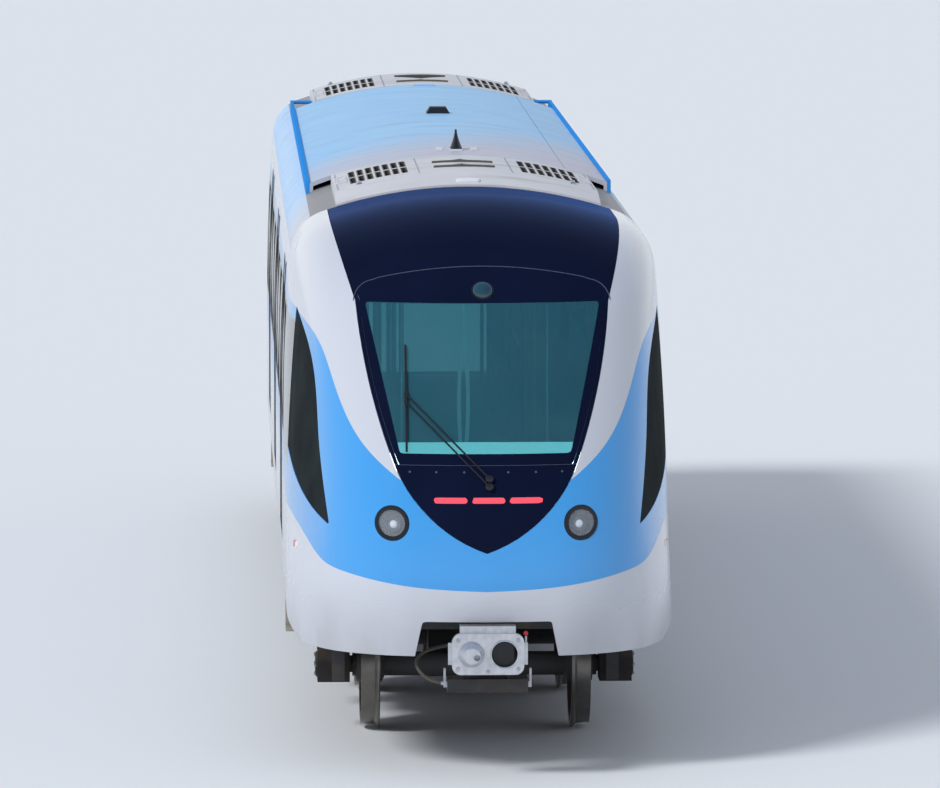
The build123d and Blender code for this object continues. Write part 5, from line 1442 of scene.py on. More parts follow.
# The clouds add up to CLOUD_DRIFT to a place's Y, and FADE_SHIFT makes up for part of that. The
# slant lets one side of the roof fade further back than the other
CLOUD_DRIFT, FADE_SLANT, FADE_SHIFT = 3.0, -1.1, 1.2
FADE_START, FADE_END = TIP + 6.6 + FADE_SHIFT, TIP + 10.2 + FADE_SHIFT
# Satin enamel that weather bleached: pale blue that fades to grey towards the nose
fairing, tree, shader, place, shade = streaked("weathered_roof_enamel", "#9fcdf0", "#8ac2ee", "#98a1ae")
parts = add(tree, "SeparateXYZ", {0: place}).outputs
drift = add(
    tree, "Math",
    {
        0: parts["Y"],
        1: add(tree, "Math", {0: cloudy(tree, place, 0.9, 4.0), 1: CLOUD_DRIFT}, operation="MULTIPLY"),
    },
    operation="ADD",
)
lean = add(
    tree, "Math", {0: drift, 1: add(tree, "Math", {0: parts["X"], 1: FADE_SLANT}, operation="MULTIPLY")},
    operation="ADD",
)
faded = add(
    tree, "MapRange", {"Value": lean, "From Min": FADE_END, "From Max": FADE_START},
    interpolation_type="SMOOTHSTEP",
)
shade = add(tree, "Mix", {0: faded, 6: shade, 7: colour("#bcbecc")}, data_type="RGBA").outputs[2]
finish_with(tree, shader, Base_Color=shade)
give(fairing, "roof_fairing")

CANTRAIL_X, SHEET_PITCH, SHEET_SEAM = 1.150, 2.3, 0.010
# The nose's silver passes into the cantrail's pale blue over this stretch
SILVER_REACH = (TIP + NOSE_LENGTH, TIP + NOSE_LENGTH + 3.2)
# The same on the cantrail, paler, with a dark seam at the end of each sheet
shell, tree, shader, place, shade = streaked("cantrail_enamel", "#b8d4ef", "#a4c9ee", "#98a6b4")
parts = add(tree, "SeparateXYZ", {0: place}).outputs
shade = add(
    tree, "Mix",
    {
        0: add(
            tree, "MapRange",
            {"Value": parts["Y"], "From Min": SILVER_REACH[0], "From Max": SILVER_REACH[1]},
            interpolation_type="SMOOTHSTEP",
        ),
        6: colour(SILVER_ENAMEL), 7: shade,
    },
    data_type="RGBA",
).outputs[2]
edge = add(
    tree, "Math", {0: add(tree, "Math", {0: parts["X"]}, operation="ABSOLUTE"), 1: CANTRAIL_X},
    operation="LESS_THAN",
)
shade = add(tree, "Mix", {0: edge, 6: shade, 7: colour("#8d8b8c")}, data_type="RGBA").outputs[2]
step = add(tree, "Math", {0: parts["Y"], 1: SHEET_PITCH}, operation="FLOORED_MODULO")
shade = add(
    tree, "Mix",
    {0: add(tree, "Math", {0: step, 1: SHEET_SEAM}, operation="LESS_THAN"), 6: shade, 7: colour("#4c5560")},
    data_type="RGBA",
).outputs[2]
finish_with(tree, shader, Base_Color=shade)
give(shell, "roof_shell")

# Enamel with no gloss left: an even, strong blue
gutter, tree, shader, place, shade = streaked(
    "bright_gutter_enamel", "#3b98e6", "#3590e0", "#4f7fb0", 0.5, 0.2,
)
finish_with(tree, shader, Base_Color=shade, Specular_IOR_Level=0.0)
give(gutter, "gutters")

# %% Roof units
UNIT_TOP, UNIT_DROP, UNIT_HALF = 3.870, 0.150, 0.960
UNIT_ARC = (UNIT_HALF**2 + UNIT_DROP**2) / (2 * UNIT_DROP)
SHEET = 0.003
# Slots: their middle and step across, and how far the painted shade reaches round each one
SLOT_X, SLOT_STEP, SLOT_SHADE_REACH, SLOT_LONG = 0.630, 0.063, 0.0235, 0.285
SLOTS_ACROSS, VENT_HALF = 7, 0.235
SLOT_ROWS = [TIP + middle + end * 0.320 for middle in (5.16, 16.26) for end in SIDES]
# Off-white enamel on sheet steel: dull, with grey dirt in its streaks, and painted shade in its slots and
# vents
cooler, tree, shader, place, shade = streaked(
    "cooler_sheet_enamel", "#d6d7db", "#c6c8ce", "#8c8781", 0.5, 0.45,
)
parts = add(tree, "SeparateXYZ", {0: place}).outputs
fall = add(
    tree, "Math",
    {
        0: add(
            tree, "Math",
            {0: UNIT_ARC**2, 1: add(tree, "Math", {0: parts["X"], 1: parts["X"]}, operation="MULTIPLY")},
            operation="SUBTRACT",
        ),
    },
    operation="SQRT",
)
top = add(tree, "Math", {0: fall, 1: UNIT_TOP - UNIT_ARC}, operation="ADD")
below = add(
    tree, "Math", {0: add(tree, "Math", {0: top, 1: parts["Z"]}, operation="SUBTRACT"), 1: SHEET},
    operation="GREATER_THAN",
)
aside = add(tree, "Math", {0: parts["X"]}, operation="ABSOLUTE")
grille_half = SLOTS_ACROSS / 2 * SLOT_STEP
grilles = between(tree, aside, SLOT_X - grille_half, SLOT_X + grille_half)
vents = add(tree, "Math", {0: aside, 1: VENT_HALF}, operation="LESS_THAN")
# Where each unit's top sheet is level along the car
LEVEL_FRONT, LEVEL_REAR = (TIP + 4.27, TIP + 6.04), (TIP + 15.38, TIP + 17.14)
level = add(
    tree, "Math", {0: between(tree, parts["Y"], *LEVEL_FRONT), 1: between(tree, parts["Y"], *LEVEL_REAR)},
    operation="MAXIMUM",
)
# Painted shade: dark where a point of a grille or vent lies below the level top sheet
painted_shade_hollow = add(
    tree, "Math",
    {
        0: add(tree, "Math", {0: below, 1: level}, operation="MULTIPLY"),
        1: add(tree, "Math", {0: grilles, 1: vents}, operation="MAXIMUM"),
    },
    operation="MULTIPLY",
)
spread = add(
    tree, "Math",
    {0: add(tree, "Math", {0: aside, 1: SLOT_X - grille_half}, operation="SUBTRACT"), 1: SLOT_STEP},
    operation="FLOORED_MODULO",
)
# Painted shade: a dark band round each slot, wider than the slot itself
slot = add(
    tree, "Math",
    {
        0: add(
            tree, "Math", {0: add(tree, "Math", {0: spread, 1: SLOT_STEP / 2}, operation="SUBTRACT")},
            operation="ABSOLUTE",
        ),
        1: SLOT_SHADE_REACH,
    },
    operation="LESS_THAN",
)
row = 0.0
for middle in SLOT_ROWS:
    row = add(
        tree, "Math", {0: row, 1: between(tree, parts["Y"], middle - SLOT_LONG, middle + SLOT_LONG)},
        operation="MAXIMUM",
    )
louvres = add(
    tree, "Math", {0: add(tree, "Math", {0: slot, 1: row}, operation="MULTIPLY"), 1: grilles},
    operation="MULTIPLY",
)
cut = add(tree, "Math", {0: painted_shade_hollow, 1: louvres}, operation="MAXIMUM")
# The dark tones are painted shade: near black in the grilles, grey-brown in the vents
shade = add(
    tree, "Mix",
    {
        0: cut, 6: shade,
        7: add(
            tree, "Mix", {0: vents, 6: colour("#47433e"), 7: colour("#8d857c")}, data_type="RGBA",
        ).outputs[2],
    },
    data_type="RGBA",
).outputs[2]
finish_with(tree, shader, Base_Color=shade)
give(cooler, "air_conditioner_front", "air_conditioner_rear")

# Lips along the vents' straight edges, dark as painted shade, screws along the units, and lifting eyes
SCREW_ROWS, SCREW_STEP = (-0.935, -0.340, 0.340, 0.935), 0.105
SCREW = ((-0.004, 0.008), (0.002, 0.008), (0.004, 0.004))


def unit_z(x):
    """Height of a unit's top sheet at X: the arc through its crown and its two edges."""
    return UNIT_TOP - UNIT_ARC + np.sqrt(UNIT_ARC**2 - x**2)


# Dark matt enamel: painted shade along each vent's straight edge
vent_lip_shade = two_tone(
    "vent_lip_shade_enamel", ("#4a4640", "#6b655d"), (25.0, 4.0), bump=(0.15, 0.0008), Roughness=0.55,
)
LIP_PLACES, LIP_HALF = (4.76, 5.26, 15.86, 16.66), 0.225
VENT_LIP = (
    (0.010, -0.006), (0.010, 0.010), (0.006, 0.015), (-0.006, 0.015), (-0.010, 0.010), (-0.010, -0.006),
)
lips = []
for s in LIP_PLACES:
    x = np.linspace(-LIP_HALF, LIP_HALF, 9)
    lips.append(sweep(np.stack((x, np.full_like(x, TIP + s), unit_z(x)), 1), VENT_LIP, (0, 0, 1)))
dress("vent_lips", join(*lips), vent_lip_shade)

spots = []
for start_at, end_at in (LEVEL_FRONT, LEVEL_REAR):
    rows = np.arange(start_at + 0.06, end_at - 0.04, SCREW_STEP)
    for x in SCREW_ROWS:
        spots.append(np.stack((np.full(len(rows), x), rows, np.full(len(rows), unit_z(x))), 1))
spots = np.concatenate(spots)
leans = np.stack((spots[:, 0] / UNIT_ARC, np.zeros(len(spots)), np.ones(len(spots))), 1)
dress("unit_screws", turned(SCREW, spots, leans, 6), bright)
EYE_X, EYE = 0.78, ((-0.004, 0.028), (0.004, 0.028), (0.010, 0.016), (0.024, 0.013), (0.026, 0.006))
spots = [(x, y, unit_z(x)) for y in (LEVEL_FRONT[0] + 0.05, LEVEL_REAR[1] - 0.05) for x in (-EYE_X, EYE_X)]
dress("lifting_eyes", turned(EYE, spots, (0, 0, 1), 16), bright)

# White pad on the front unit's slope
PAD_S, PAD_HALF, PAD_THICK, PAD_CORNER = 3.95, (0.085, 0.040), 0.014, 0.018
# The unit's front slope climbs from one height to the other over this stretch
SLOPE_S, SLOPE_Z = (3.84, 4.26), (3.802, 3.870)
pad = rounded((0, PAD_S) + CORNERS * PAD_HALF, PAD_CORNER, 5)
grow = np.array((1.0, 1.0, 0.9))[:, None, None]
flat = (pad - (0, PAD_S)) * grow + (0, PAD_S)
pad_z = np.interp(PAD_S, SLOPE_S, SLOPE_Z)
climb_rate = (SLOPE_Z[1] - SLOPE_Z[0]) / (SLOPE_S[1] - SLOPE_S[0])
lifts = np.array((-0.01, PAD_THICK * 0.7, PAD_THICK))[:, None]
slope = (flat[..., 1] - PAD_S) * climb_rate
pad_rings = np.stack((flat[..., 0], TIP + flat[..., 1], pad_z + lifts + slope), -1)
# White enamel, a little soiled: a white spot among the roof's greys
white_pad = two_tone(
    "white_pad_enamel", ("#eef1f6", "#cfd3d9"), (20.0, 5.0), bump=(0.1, 0.001), Roughness=0.4,
)
dress("front_roof_pad", stacked(pad_rings), white_pad)

# %% Aerials
BASE_TOP, FIN_S, FIN_LONG, FIN_TIP = 3.8835, 6.65, 0.105, 0.130
# Only the front aerial, before this s, is pale, and only low down or beyond this X
FRONT_AERIAL_END, BLOCK_X = 8.0, 0.100
# Moulded plastic: dull black housings, the front one on pale blocks
aerial, tree, shader, place = start("moulded_aerial_plastic")
parts = add(tree, "SeparateXYZ", {0: place}).outputs
blocks = add(
    tree, "Math", {0: add(tree, "Math", {0: parts["X"]}, operation="ABSOLUTE"), 1: BLOCK_X},
    operation="GREATER_THAN",
)
front = add(tree, "Math", {0: parts["Y"], 1: TIP + FRONT_AERIAL_END}, operation="LESS_THAN")
grain = cloudy(tree, place, 110.0, 4.0)
black = add(
    tree, "Mix", {0: grain, 6: colour("#111215"), 7: colour("#232428")}, data_type="RGBA",
).outputs[2]
low = add(tree, "Math", {0: parts["Z"], 1: BASE_TOP}, operation="LESS_THAN")
pale = add(
    tree, "Math", {0: add(tree, "Math", {0: blocks, 1: low}, operation="MAXIMUM"), 1: front},
    operation="MULTIPLY",
)
finish_with(
    tree, shader,
    Base_Color=add(tree, "Mix", {0: pale, 6: black, 7: colour("#dfe1e4")}, data_type="RGBA").outputs[2],
    Roughness=0.5, Normal=add(tree, "Bump", {"Height": grain, "Strength": 0.25, "Distance": 0.0006}),
)
give(aerial, "roof_aerials")

# The fin swells towards its foot: ovals that narrow and move back as they rise
rise = np.linspace(0, 1, 9)
half_wide, front_at = 0.040 * (1 - rise) ** 1.4 + 0.0080, -FIN_LONG + 1.5 * FIN_LONG * rise
half_long, mid_long = (FIN_LONG - front_at) / 2, (FIN_LONG + front_at) / 2
turn = np.linspace(0, 2 * np.pi, 32, endpoint=False)
fin_rings = np.stack(
    (
        half_wide[:, None] * np.cos(turn),
        TIP + FIN_S + mid_long[:, None] + half_long[:, None] * np.sin(turn),
        np.broadcast_to((BASE_TOP - 0.004 + FIN_TIP * rise)[:, None], (9, 32)),
    ),
    -1,
)
dress("fin_swell", stacked(fin_rings), aerial)

# %% [markdown]
# ## Coupler
#
# The automatic coupler's face is machined and polished steel, with a cone and a cup that find
# those of another coupler. Its body behind the plate is painted casting, and below hangs a dark
# box of electric contacts. An air hose hangs from the box back to the shank, held at both ends.

# %% Coupler finishes
FACE_S, PLATE_BACK, COUPLER_Z, CUP_X, CUP_RADIUS = -0.130, -0.062, 0.878, 0.112, 0.0885
# Machined steel, worn bright: turned rings on the face, darker casting behind, and painted shade
# in the cup, near black. The rings' rate is in radians a metre, which sets them some 4.5 mm
# apart, coarse enough to show
LATHE_RATE = 1400.0
steel, tree, shader, place = start("machined_coupler_steel")
parts = add(tree, "SeparateXYZ", {0: place}).outputs
scuffs = cloudy(tree, place, 26.0, 6.0)
lathe = add(
    tree, "Math",
    {
        0: add(
            tree, "Math", {0: from_line(tree, place, (-CUP_X, 0, COUPLER_Z), "Y"), 1: LATHE_RATE},
            operation="MULTIPLY",
        ),
    },
    operation="SINE",
)
tint = add(
    tree, "Mix", {0: scuffs, 6: colour("#a9acb3"), 7: colour("#e3e5ea")}, data_type="RGBA",
).outputs[2]
casting = add(
    tree, "Mix", {0: scuffs, 6: colour("#74777c"), 7: colour("#9c9fa4")}, data_type="RGBA",
).outputs[2]
machined = add(tree, "Math", {0: parts["Y"], 1: TIP + PLATE_BACK}, operation="LESS_THAN")
tint = add(tree, "Mix", {0: machined, 6: casting, 7: tint}, data_type="RGBA").outputs[2]
# Painted shade: the cup's inside, deeper than the face, is near black
cup = add(
    tree, "Math", {0: from_line(tree, place, (CUP_X, 0, COUPLER_Z), "Y"), 1: CUP_RADIUS + 0.002},
    operation="LESS_THAN",
)
deep = add(tree, "Math", {0: parts["Y"], 1: TIP + FACE_S + 0.006}, operation="GREATER_THAN")
front = add(tree, "Math", {0: parts["Y"], 1: TIP + PLATE_BACK + 0.006}, operation="LESS_THAN")
painted_shade_hollow = add(
    tree, "Math", {0: add(tree, "Math", {0: cup, 1: deep}, operation="MULTIPLY"), 1: front},
    operation="MULTIPLY",
)
tint = add(tree, "Mix", {0: painted_shade_hollow, 6: tint, 7: colour("#121316")}, data_type="RGBA").outputs[2]
metal = add(
    tree, "Math", {0: add(tree, "Math", {0: 1.0, 1: painted_shade_hollow}, operation="SUBTRACT"), 1: 0.75},
    operation="MULTIPLY",
)
rough = add(tree, "MapRange", {"Value": scuffs, "To Min": 0.20, "To Max": 0.45})
finish_with(
    tree, shader, Base_Color=tint, Metallic=metal, Roughness=rough,
    Normal=add(tree, "Bump", {"Height": lathe, "Strength": 0.05, "Distance": 0.0004}),
)
give(steel, "coupler_head")

HANDLE_Z = 0.998
# Zinc plate: dull silver with small scuffs, and a red knob on the handle
latch, tree, shader, place = start("zinc_plated_latches")
scuffs = cloudy(tree, place, 30.0, 5.0)
knob = add(
    tree, "Math", {0: add(tree, "SeparateXYZ", {0: place}).outputs["Z"], 1: HANDLE_Z},
    operation="GREATER_THAN",
)
tint = add(
    tree, "Mix",
    {
        0: knob,
        6: add(
            tree, "Mix", {0: scuffs, 6: colour("#8f9299"), 7: colour("#c9ccd2")}, data_type="RGBA",
        ).outputs[2],
        7: colour("#b52530"),
    },
    data_type="RGBA",
).outputs[2]
metal = add(
    tree, "Math", {0: add(tree, "Math", {0: 1.0, 1: knob}, operation="SUBTRACT"), 1: 0.8},
    operation="MULTIPLY",
)
finish_with(
    tree, shader, Base_Color=tint, Metallic=metal, Roughness=0.35,
    Normal=add(tree, "Bump", {"Height": scuffs, "Strength": 0.1, "Distance": 0.0006}),
)
give(latch, "coupler_latches")

# %% Coupler bolts
BOLT_X, BOLT_Z = 0.205, 0.098
HEX = ((-0.006, 0.014), (0.007, 0.014), (0.010, 0.011))
spots = [(x * BOLT_X, TIP + FACE_S, COUPLER_Z + z * BOLT_Z) for x in SIDES for z in SIDES]
spots.append((0.0, TIP + FACE_S, COUPLER_Z - 0.118))
dress("coupler_bolts", turned(HEX, spots, (0, -1, 0), 6), latch, body="coupler")
CUP_RIM = ((0.007, -0.004), (0.007, 0.002), (0.002, 0.006), (-0.004, 0.003), (-0.005, -0.004))
CUP_RIM_RADIUS, CUP_RIM_STEPS = 0.093, 56
rim_x, rim_z = ring(CUP_RIM_RADIUS, CUP_RIM_STEPS).T
rim = np.stack((CUP_X + rim_x, np.full(CUP_RIM_STEPS, TIP + FACE_S), COUPLER_Z + rim_z), 1)
dress("cup_rim", sweep(rim, CUP_RIM, (0, -1, 0), closed=True), steel, body="coupler")

# %% Coupler hose
# columns: X, s, Z
HOSE_ROUTE = (
    (-0.2753, 0.095, 0.655), (-0.350, 0.095, 0.655), (-0.445, 0.120, 0.705), (-0.492, 0.205, 0.785),
    (-0.440, 0.320, 0.838), (-0.310, 0.415, 0.866), (-0.150, 0.470, 0.878), (-0.0553, 0.470, 0.878),
)
HOSE_RADIUS, HOSE_LENGTH = 0.011, 0.854
line = bpy.data.curves.new("coupler_air_hose", "CURVE")
line.dimensions = "3D"
line.bevel_depth = HOSE_RADIUS
line.bevel_resolution = 5
line.resolution_u = 16
line.use_fill_caps = True
spline = line.splines.new("NURBS")
spline.points.add(len(HOSE_ROUTE) - 1)
for point, (x, s, z) in zip(spline.points, HOSE_ROUTE):
    point.co = (x, TIP + s, z, 1)
spline.order_u = 3
spline.use_endpoint_u = True
hose = bpy.data.objects.new("coupler_air_hose", line)
bpy.context.scene.collection.objects.link(hose)
# Braided rubber: dull brown-grey, with ridges some 7 mm apart, coarse enough to show
BRAID_RATE = 900.0
hose_rubber, tree, shader, place = start("braided_hose_rubber")
weave = add(
    tree, "Math",
    {
        0: add(
            tree, "Math", {0: add(tree, "SeparateXYZ", {0: place}).outputs["Z"], 1: BRAID_RATE},
            operation="MULTIPLY",
        ),
    },
    operation="SINE",
)
dusty = add(
    tree, "Mix", {0: cloudy(tree, place, 24.0, 5.0), 6: colour("#3a3834"), 7: colour("#5d574c")},
    data_type="RGBA",
).outputs[2]
finish_with(
    tree, shader, Base_Color=dusty, Roughness=0.6,
    Normal=add(tree, "Bump", {"Height": weave, "Strength": 0.25, "Distance": 0.0008}),
)
line.materials.append(hose_rubber)
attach(hose, "coupler")
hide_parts("coupler_hose")
CUFF = ((-0.004, 0.017), (0.026, 0.017), (0.034, 0.0135), (0.040, 0.012))
cuffs = join(
    turned(CUFF, (HOSE_ROUTE[0][0], TIP + HOSE_ROUTE[0][1], HOSE_ROUTE[0][2]), (-1, 0, 0), 20),
    turned(CUFF, (HOSE_ROUTE[-1][0], TIP + HOSE_ROUTE[-1][1], HOSE_ROUTE[-1][2]), (-1, 0, 0), 20),
)
dress("hose_cuffs", cuffs, latch, body="coupler")

# %% [markdown]
# ## Chassis paint, rubber and wheels
#
# Below the floor everything is grey chassis paint under brown brake dust, which lies thickest
# on what faces up and near the wheels. Wheels are forged steel: rust brown on the web, and
# rolled steel on the tread, which a distance from the axle tells apart. The tread's grey is
# kept dark as painted shade, for the shade under the car.


# %% Underfloor finishes
def dusted(name, code, rough=0.62, metal=0.0, dust="#5a4c40", amount=0.55, grain_scale=60.0):
    """A painted, cast or moulded surface with dust in its clouds and on what faces up."""
    made, tree, shader, place = start(name)
    clouds = cloudy(tree, place, 5.0, 6.0)
    grain = cloudy(tree, place, grain_scale, 4.0)
    shade = add(
        tree, "Mix", {0: grain, 6: colour(code), 7: tuple(c * 0.7 for c in colour(code)[:3]) + (1.0,)},
        data_type="RGBA",
    ).outputs[2]
    facing = add(tree, "NewGeometry", {}).outputs["Normal"]
    up = add(
        tree, "MapRange",
        {"Value": add(tree, "SeparateXYZ", {0: facing}).outputs["Z"], "From Min": 0.2, "From Max": 0.9},
        interpolation_type="SMOOTHSTEP",
    )
    settled = add(
        tree, "Math",
        {
            0: add(tree, "Math", {0: up, 1: 0.5}, operation="MULTIPLY"),
            1: add(
                tree, "MapRange", {"Value": clouds, "From Min": 0.42, "From Max": 0.75},
                interpolation_type="SMOOTHSTEP",
            ),
        },
        operation="ADD",
    )
    settled = add(tree, "Math", {0: settled, 1: amount}, operation="MULTIPLY")
    gloss = add(tree, "MapRange", {"Value": clouds, "To Min": rough * 0.85, "To Max": min(1, rough * 1.2)})
    finish_with(
        tree, shader,
        Base_Color=add(tree, "Mix", {0: settled, 6: shade, 7: colour(dust)}, data_type="RGBA").outputs[2],
        Roughness=gloss, Metallic=metal,
        Normal=add(tree, "Bump", {"Height": grain, "Strength": 0.2, "Distance": 0.0015}),
    )
    return made


# Sprayed paint: dull dark grey, brown where dust lies
chassis = dusted("grey_chassis_paint", "#3a3c40")
# Powder coat on sheet steel: a paler grey, with less dust than the frame's paint
case_paint = dusted("equipment_case_paint", "#5b5f66", 0.5, amount=0.35)
# Rough casting: nearly black, browned by dust
cast = dusted("cast_axle_boxes", "#2f2d2c", 0.7, 0.2, amount=0.7)
# Painted casting: dark blue-grey, half under dust
motor_paint = dusted("motor_paint", "#33373b", 0.55, amount=0.5)
# Moulded insulator: the colour of stone, soiled brown
shoe = dusted("moulded_insulator", "#bdb7aa", 0.55, dust="#7b6f61", amount=0.5)
# Bare casting: warm dark grey with a little metal in its gloss
brake = dusted("brake_casting", "#4b4744", 0.65, 0.3, amount=0.6)
# Sprayed paint: an even near-black
dark_box = dusted("contact_box_paint", "#222428", 0.5, amount=0.25)
# Coated fabric: matt black with a fine grain
bellows = dusted("coated_bellows_fabric", "#26272b", 0.75, dust="#55504a", amount=0.35, grain_scale=220.0)
# Moulded rubber: matt black, with brown-grey dust on top
spring_rubber = dusted("air_spring_rubber", "#1d1d1f", 0.7, dust="#5a5047", amount=0.4, grain_scale=90.0)
give(chassis, "underframe", "coupler_pockets", "coupler_shank", "drawbar")
give(case_paint, "equipment_cases")
give(dark_box, "coupler_case")
for end in ("front", "rear"):
    give(chassis, f"bogie_frame_{end}")
    give(cast, f"axle_boxes_{end}")
    give(motor_paint, f"motors_{end}")
    give(shoe, f"collector_shoes_{end}")
    give(brake, f"brake_units_{end}")

# %% Wheels
# The steel turns from rust to bright between these radii. Its turning marks, whose rate is in
# radians a metre, lie some 5.7 mm apart
AXLE_Z, TREAD, SKIM_RATE = 0.458, (0.400, 0.424), 1100.0
for number in range(1, 5):
    low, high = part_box(f"wheelset_{number}")
    wheel, tree, shader, place = start(f"forged_wheel_steel_{number}")
    parts = add(tree, "SeparateXYZ", {0: place}).outputs
    out = from_line(tree, place, (0, (low.y + high.y) / 2, AXLE_Z), "X")
    rolled = add(
        tree, "MapRange", {"Value": out, "From Min": TREAD[0], "From Max": TREAD[1]},
        interpolation_type="SMOOTHSTEP",
    )
    clouds = cloudy(tree, place, 9.0, 6.0)
    rust = add(
        tree, "Mix", {0: clouds, 6: colour("#3b2f28"), 7: colour("#6a5546")}, data_type="RGBA",
    ).outputs[2]
    rust = add(
        tree, "Mix",
        {
            0: add(
                tree, "MapRange", {"Value": out, "From Min": 0.20, "From Max": 0.13},
                interpolation_type="SMOOTHSTEP",
            ),
            6: rust, 7: colour("#4b4a49"),
        },
        data_type="RGBA",
    ).outputs[2]
    skim = add(
        tree, "Math", {0: add(tree, "Math", {0: out, 1: SKIM_RATE}, operation="MULTIPLY")},
        operation="SINE",
    )
    # The rolled tread's greys are kept dark: painted shade for the shade under the car
    tint = add(
        tree, "Mix",
        {
            0: rolled, 6: rust,
            7: add(
                tree, "Mix", {0: clouds, 6: colour("#5c5955"), 7: colour("#827f7a")}, data_type="RGBA",
            ).outputs[2],
        },
        data_type="RGBA",
    ).outputs[2]
    metal = add(tree, "Math", {0: rolled, 1: 0.8}, operation="MULTIPLY")
    rough = add(tree, "MapRange", {"Value": rolled, "To Min": 0.72, "To Max": 0.32})
    finish_with(
        tree, shader, Base_Color=tint, Metallic=metal, Roughness=rough,
        Normal=add(tree, "Bump", {"Height": skim, "Strength": 0.08, "Distance": 0.0005}),
    )
    give(wheel, f"wheelset_{number}")

# %% [markdown]
# ## Gangway and air springs
#
# Both are rubbered fabric that folds. The gangway is a concertina: one rounded frame outline,
# moved out and in along a wave as it goes back. Each air spring is two soft rolls with a hoop
# between them, a profile turned round an upright axis.

# %% Gangway concertina
low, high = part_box("gangway_bellows")
FOLDS, FOLD, INNER_HALF, INNER_FOOT, INNER_TOP = 9, 0.034, 0.650, 1.128, 3.178
OUTER_CORNER, INNER_CORNER = 0.085, 0.030
stations = np.linspace(0, 1, FOLDS * 12 + 1)
wave = FOLD * (0.5 - 0.5 * np.cos(2 * np.pi * FOLDS * stations))
base_half, base_low, base_high = high.x - FOLD - 0.001, low.z + FOLD + 0.001, high.z - FOLD - 0.001
middle_z, half_z = (base_low + base_high) / 2, (base_high - base_low) / 2
outer = [
    rounded((0, middle_z) + CORNERS * (base_half + swell, half_z + swell), OUTER_CORNER, 8)
    for swell in wave
]
inner_z, inner_half_z = (INNER_FOOT + INNER_TOP) / 2, (INNER_TOP - INNER_FOOT) / 2
inner = rounded((0, inner_z) + CORNERS * (INNER_HALF, inner_half_z), INNER_CORNER, 8)
loops = np.concatenate((outer, (inner, inner)))
y = np.concatenate((low.y + stations * (high.y - low.y), (high.y, low.y)))
concertina = np.stack((loops[..., 0], np.broadcast_to(y[:, None], loops.shape[:2]), loops[..., 1]), -1)
dress(
    "gangway_concertina", looped(concertina), bellows, stands_for=("gangway_bellows",),
    sharp=60,
)

# %% Air springs
# columns: height above the bogie frame, radius
ROLLS = (
    (0.000, 0.165), (0.004, 0.190), (0.022, 0.214), (0.050, 0.227), (0.080, 0.224), (0.106, 0.206),
    (0.116, 0.196), (0.122, 0.203), (0.142, 0.203), (0.148, 0.196), (0.158, 0.206), (0.184, 0.224),
    (0.214, 0.227), (0.244, 0.213), (0.262, 0.188), (0.268, 0.165), (0.2825, 0.165),
)
AIR_SPRING_X = 0.920
for end in ("front", "rear"):
    low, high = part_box(f"air_springs_{end}")
    middles = [(side * AIR_SPRING_X, (low.y + high.y) / 2, low.z) for side in SIDES]
    dress(
        f"air_spring_rolls_{end}", turned(ROLLS, middles, (0, 0, 1), 48), spring_rubber,
        body=f"bogie_{end}", stands_for=(f"air_springs_{end}",), sharp=50,
    )

# %% [markdown]
# ## Underfloor details
#
# The cases below the floor are sheet steel boxes with bolted lids, louvres and catches, the
# axle boxes carry round caps with a ring of bolts, and pipes run along the frame.

# %% Case lids, louvres and catches
CASES = ((5.65, 7.50), (7.70, 9.30), (9.50, 11.30), (11.50, 13.10))
CASE_X, LID_Z, LID_HEIGHT, LID_PROUD, LIDS_EACH = 1.120, 0.700, 0.330, 0.010, 2
LOUVRE = ((0.000, -0.002), (0.016, -0.002), (0.016, 0.003), (0.002, 0.013))
LOUVRES_EACH, LOUVRE_STEP, LOUVRE_DROP, LOUVRE_HALF = 7, 0.030, 0.105, 0.26
CATCH_HALF, CATCH_DROP = 0.28, 0.035
CATCH = ((-0.004, 0.018), (0.006, 0.018), (0.009, 0.014), (0.009, 0.006), (0.012, 0.005))


def side_plate(side, x, s, z, width, height, proud, corner=0.02):
    """A thin rounded plate with a soft edge on an upright face that looks sideways."""
    rings = []
    for lift, shrink in ((-0.004, 0), (proud * 0.6, 0), (proud, proud * 0.5)):
        line = panel_outline(s, z, width - 2 * shrink, height - 2 * shrink, corner, 4)
        rings.append(np.stack((np.full(len(line), side * (x + lift)), TIP + line[:, 0], line[:, 1]), 1))
    return stacked(np.array(rings))


lids, louvres, catches = [], [], []
for side in SIDES:
    for start_at, end_at in CASES:
        width = (end_at - start_at) / LIDS_EACH
        for place in range(LIDS_EACH):
            s = start_at + (place + 0.5) * width
            lids.append(side_plate(side, CASE_X, s, LID_Z, width - 0.08, LID_HEIGHT, LID_PROUD))
            top = LID_Z + LID_HEIGHT / 2 - CATCH_DROP
            catches.append(
                [
                    (side * (CASE_X + LID_PROUD), TIP + s + reach, top)
                    for reach in (-CATCH_HALF, CATCH_HALF)
                ],
            )
            for row in range(LOUVRES_EACH):
                z = LID_Z - LOUVRE_DROP + row * LOUVRE_STEP
                path = [
                    (side * (CASE_X + LID_PROUD), TIP + s + reach, z)
                    for reach in (-LOUVRE_HALF, 0, LOUVRE_HALF)
                ]
                louvres.append(sweep(path, LOUVRE, (side, 0, 0)))
dress("case_lids", join(*lids), case_paint)
dress("case_louvres", join(*louvres), case_paint)
catches = np.concatenate(catches)
out = np.stack((np.sign(catches[:, 0]), np.zeros(len(catches)), np.zeros(len(catches))), 1)
dress("case_catches", turned(CATCH, catches, out, 16), bright)

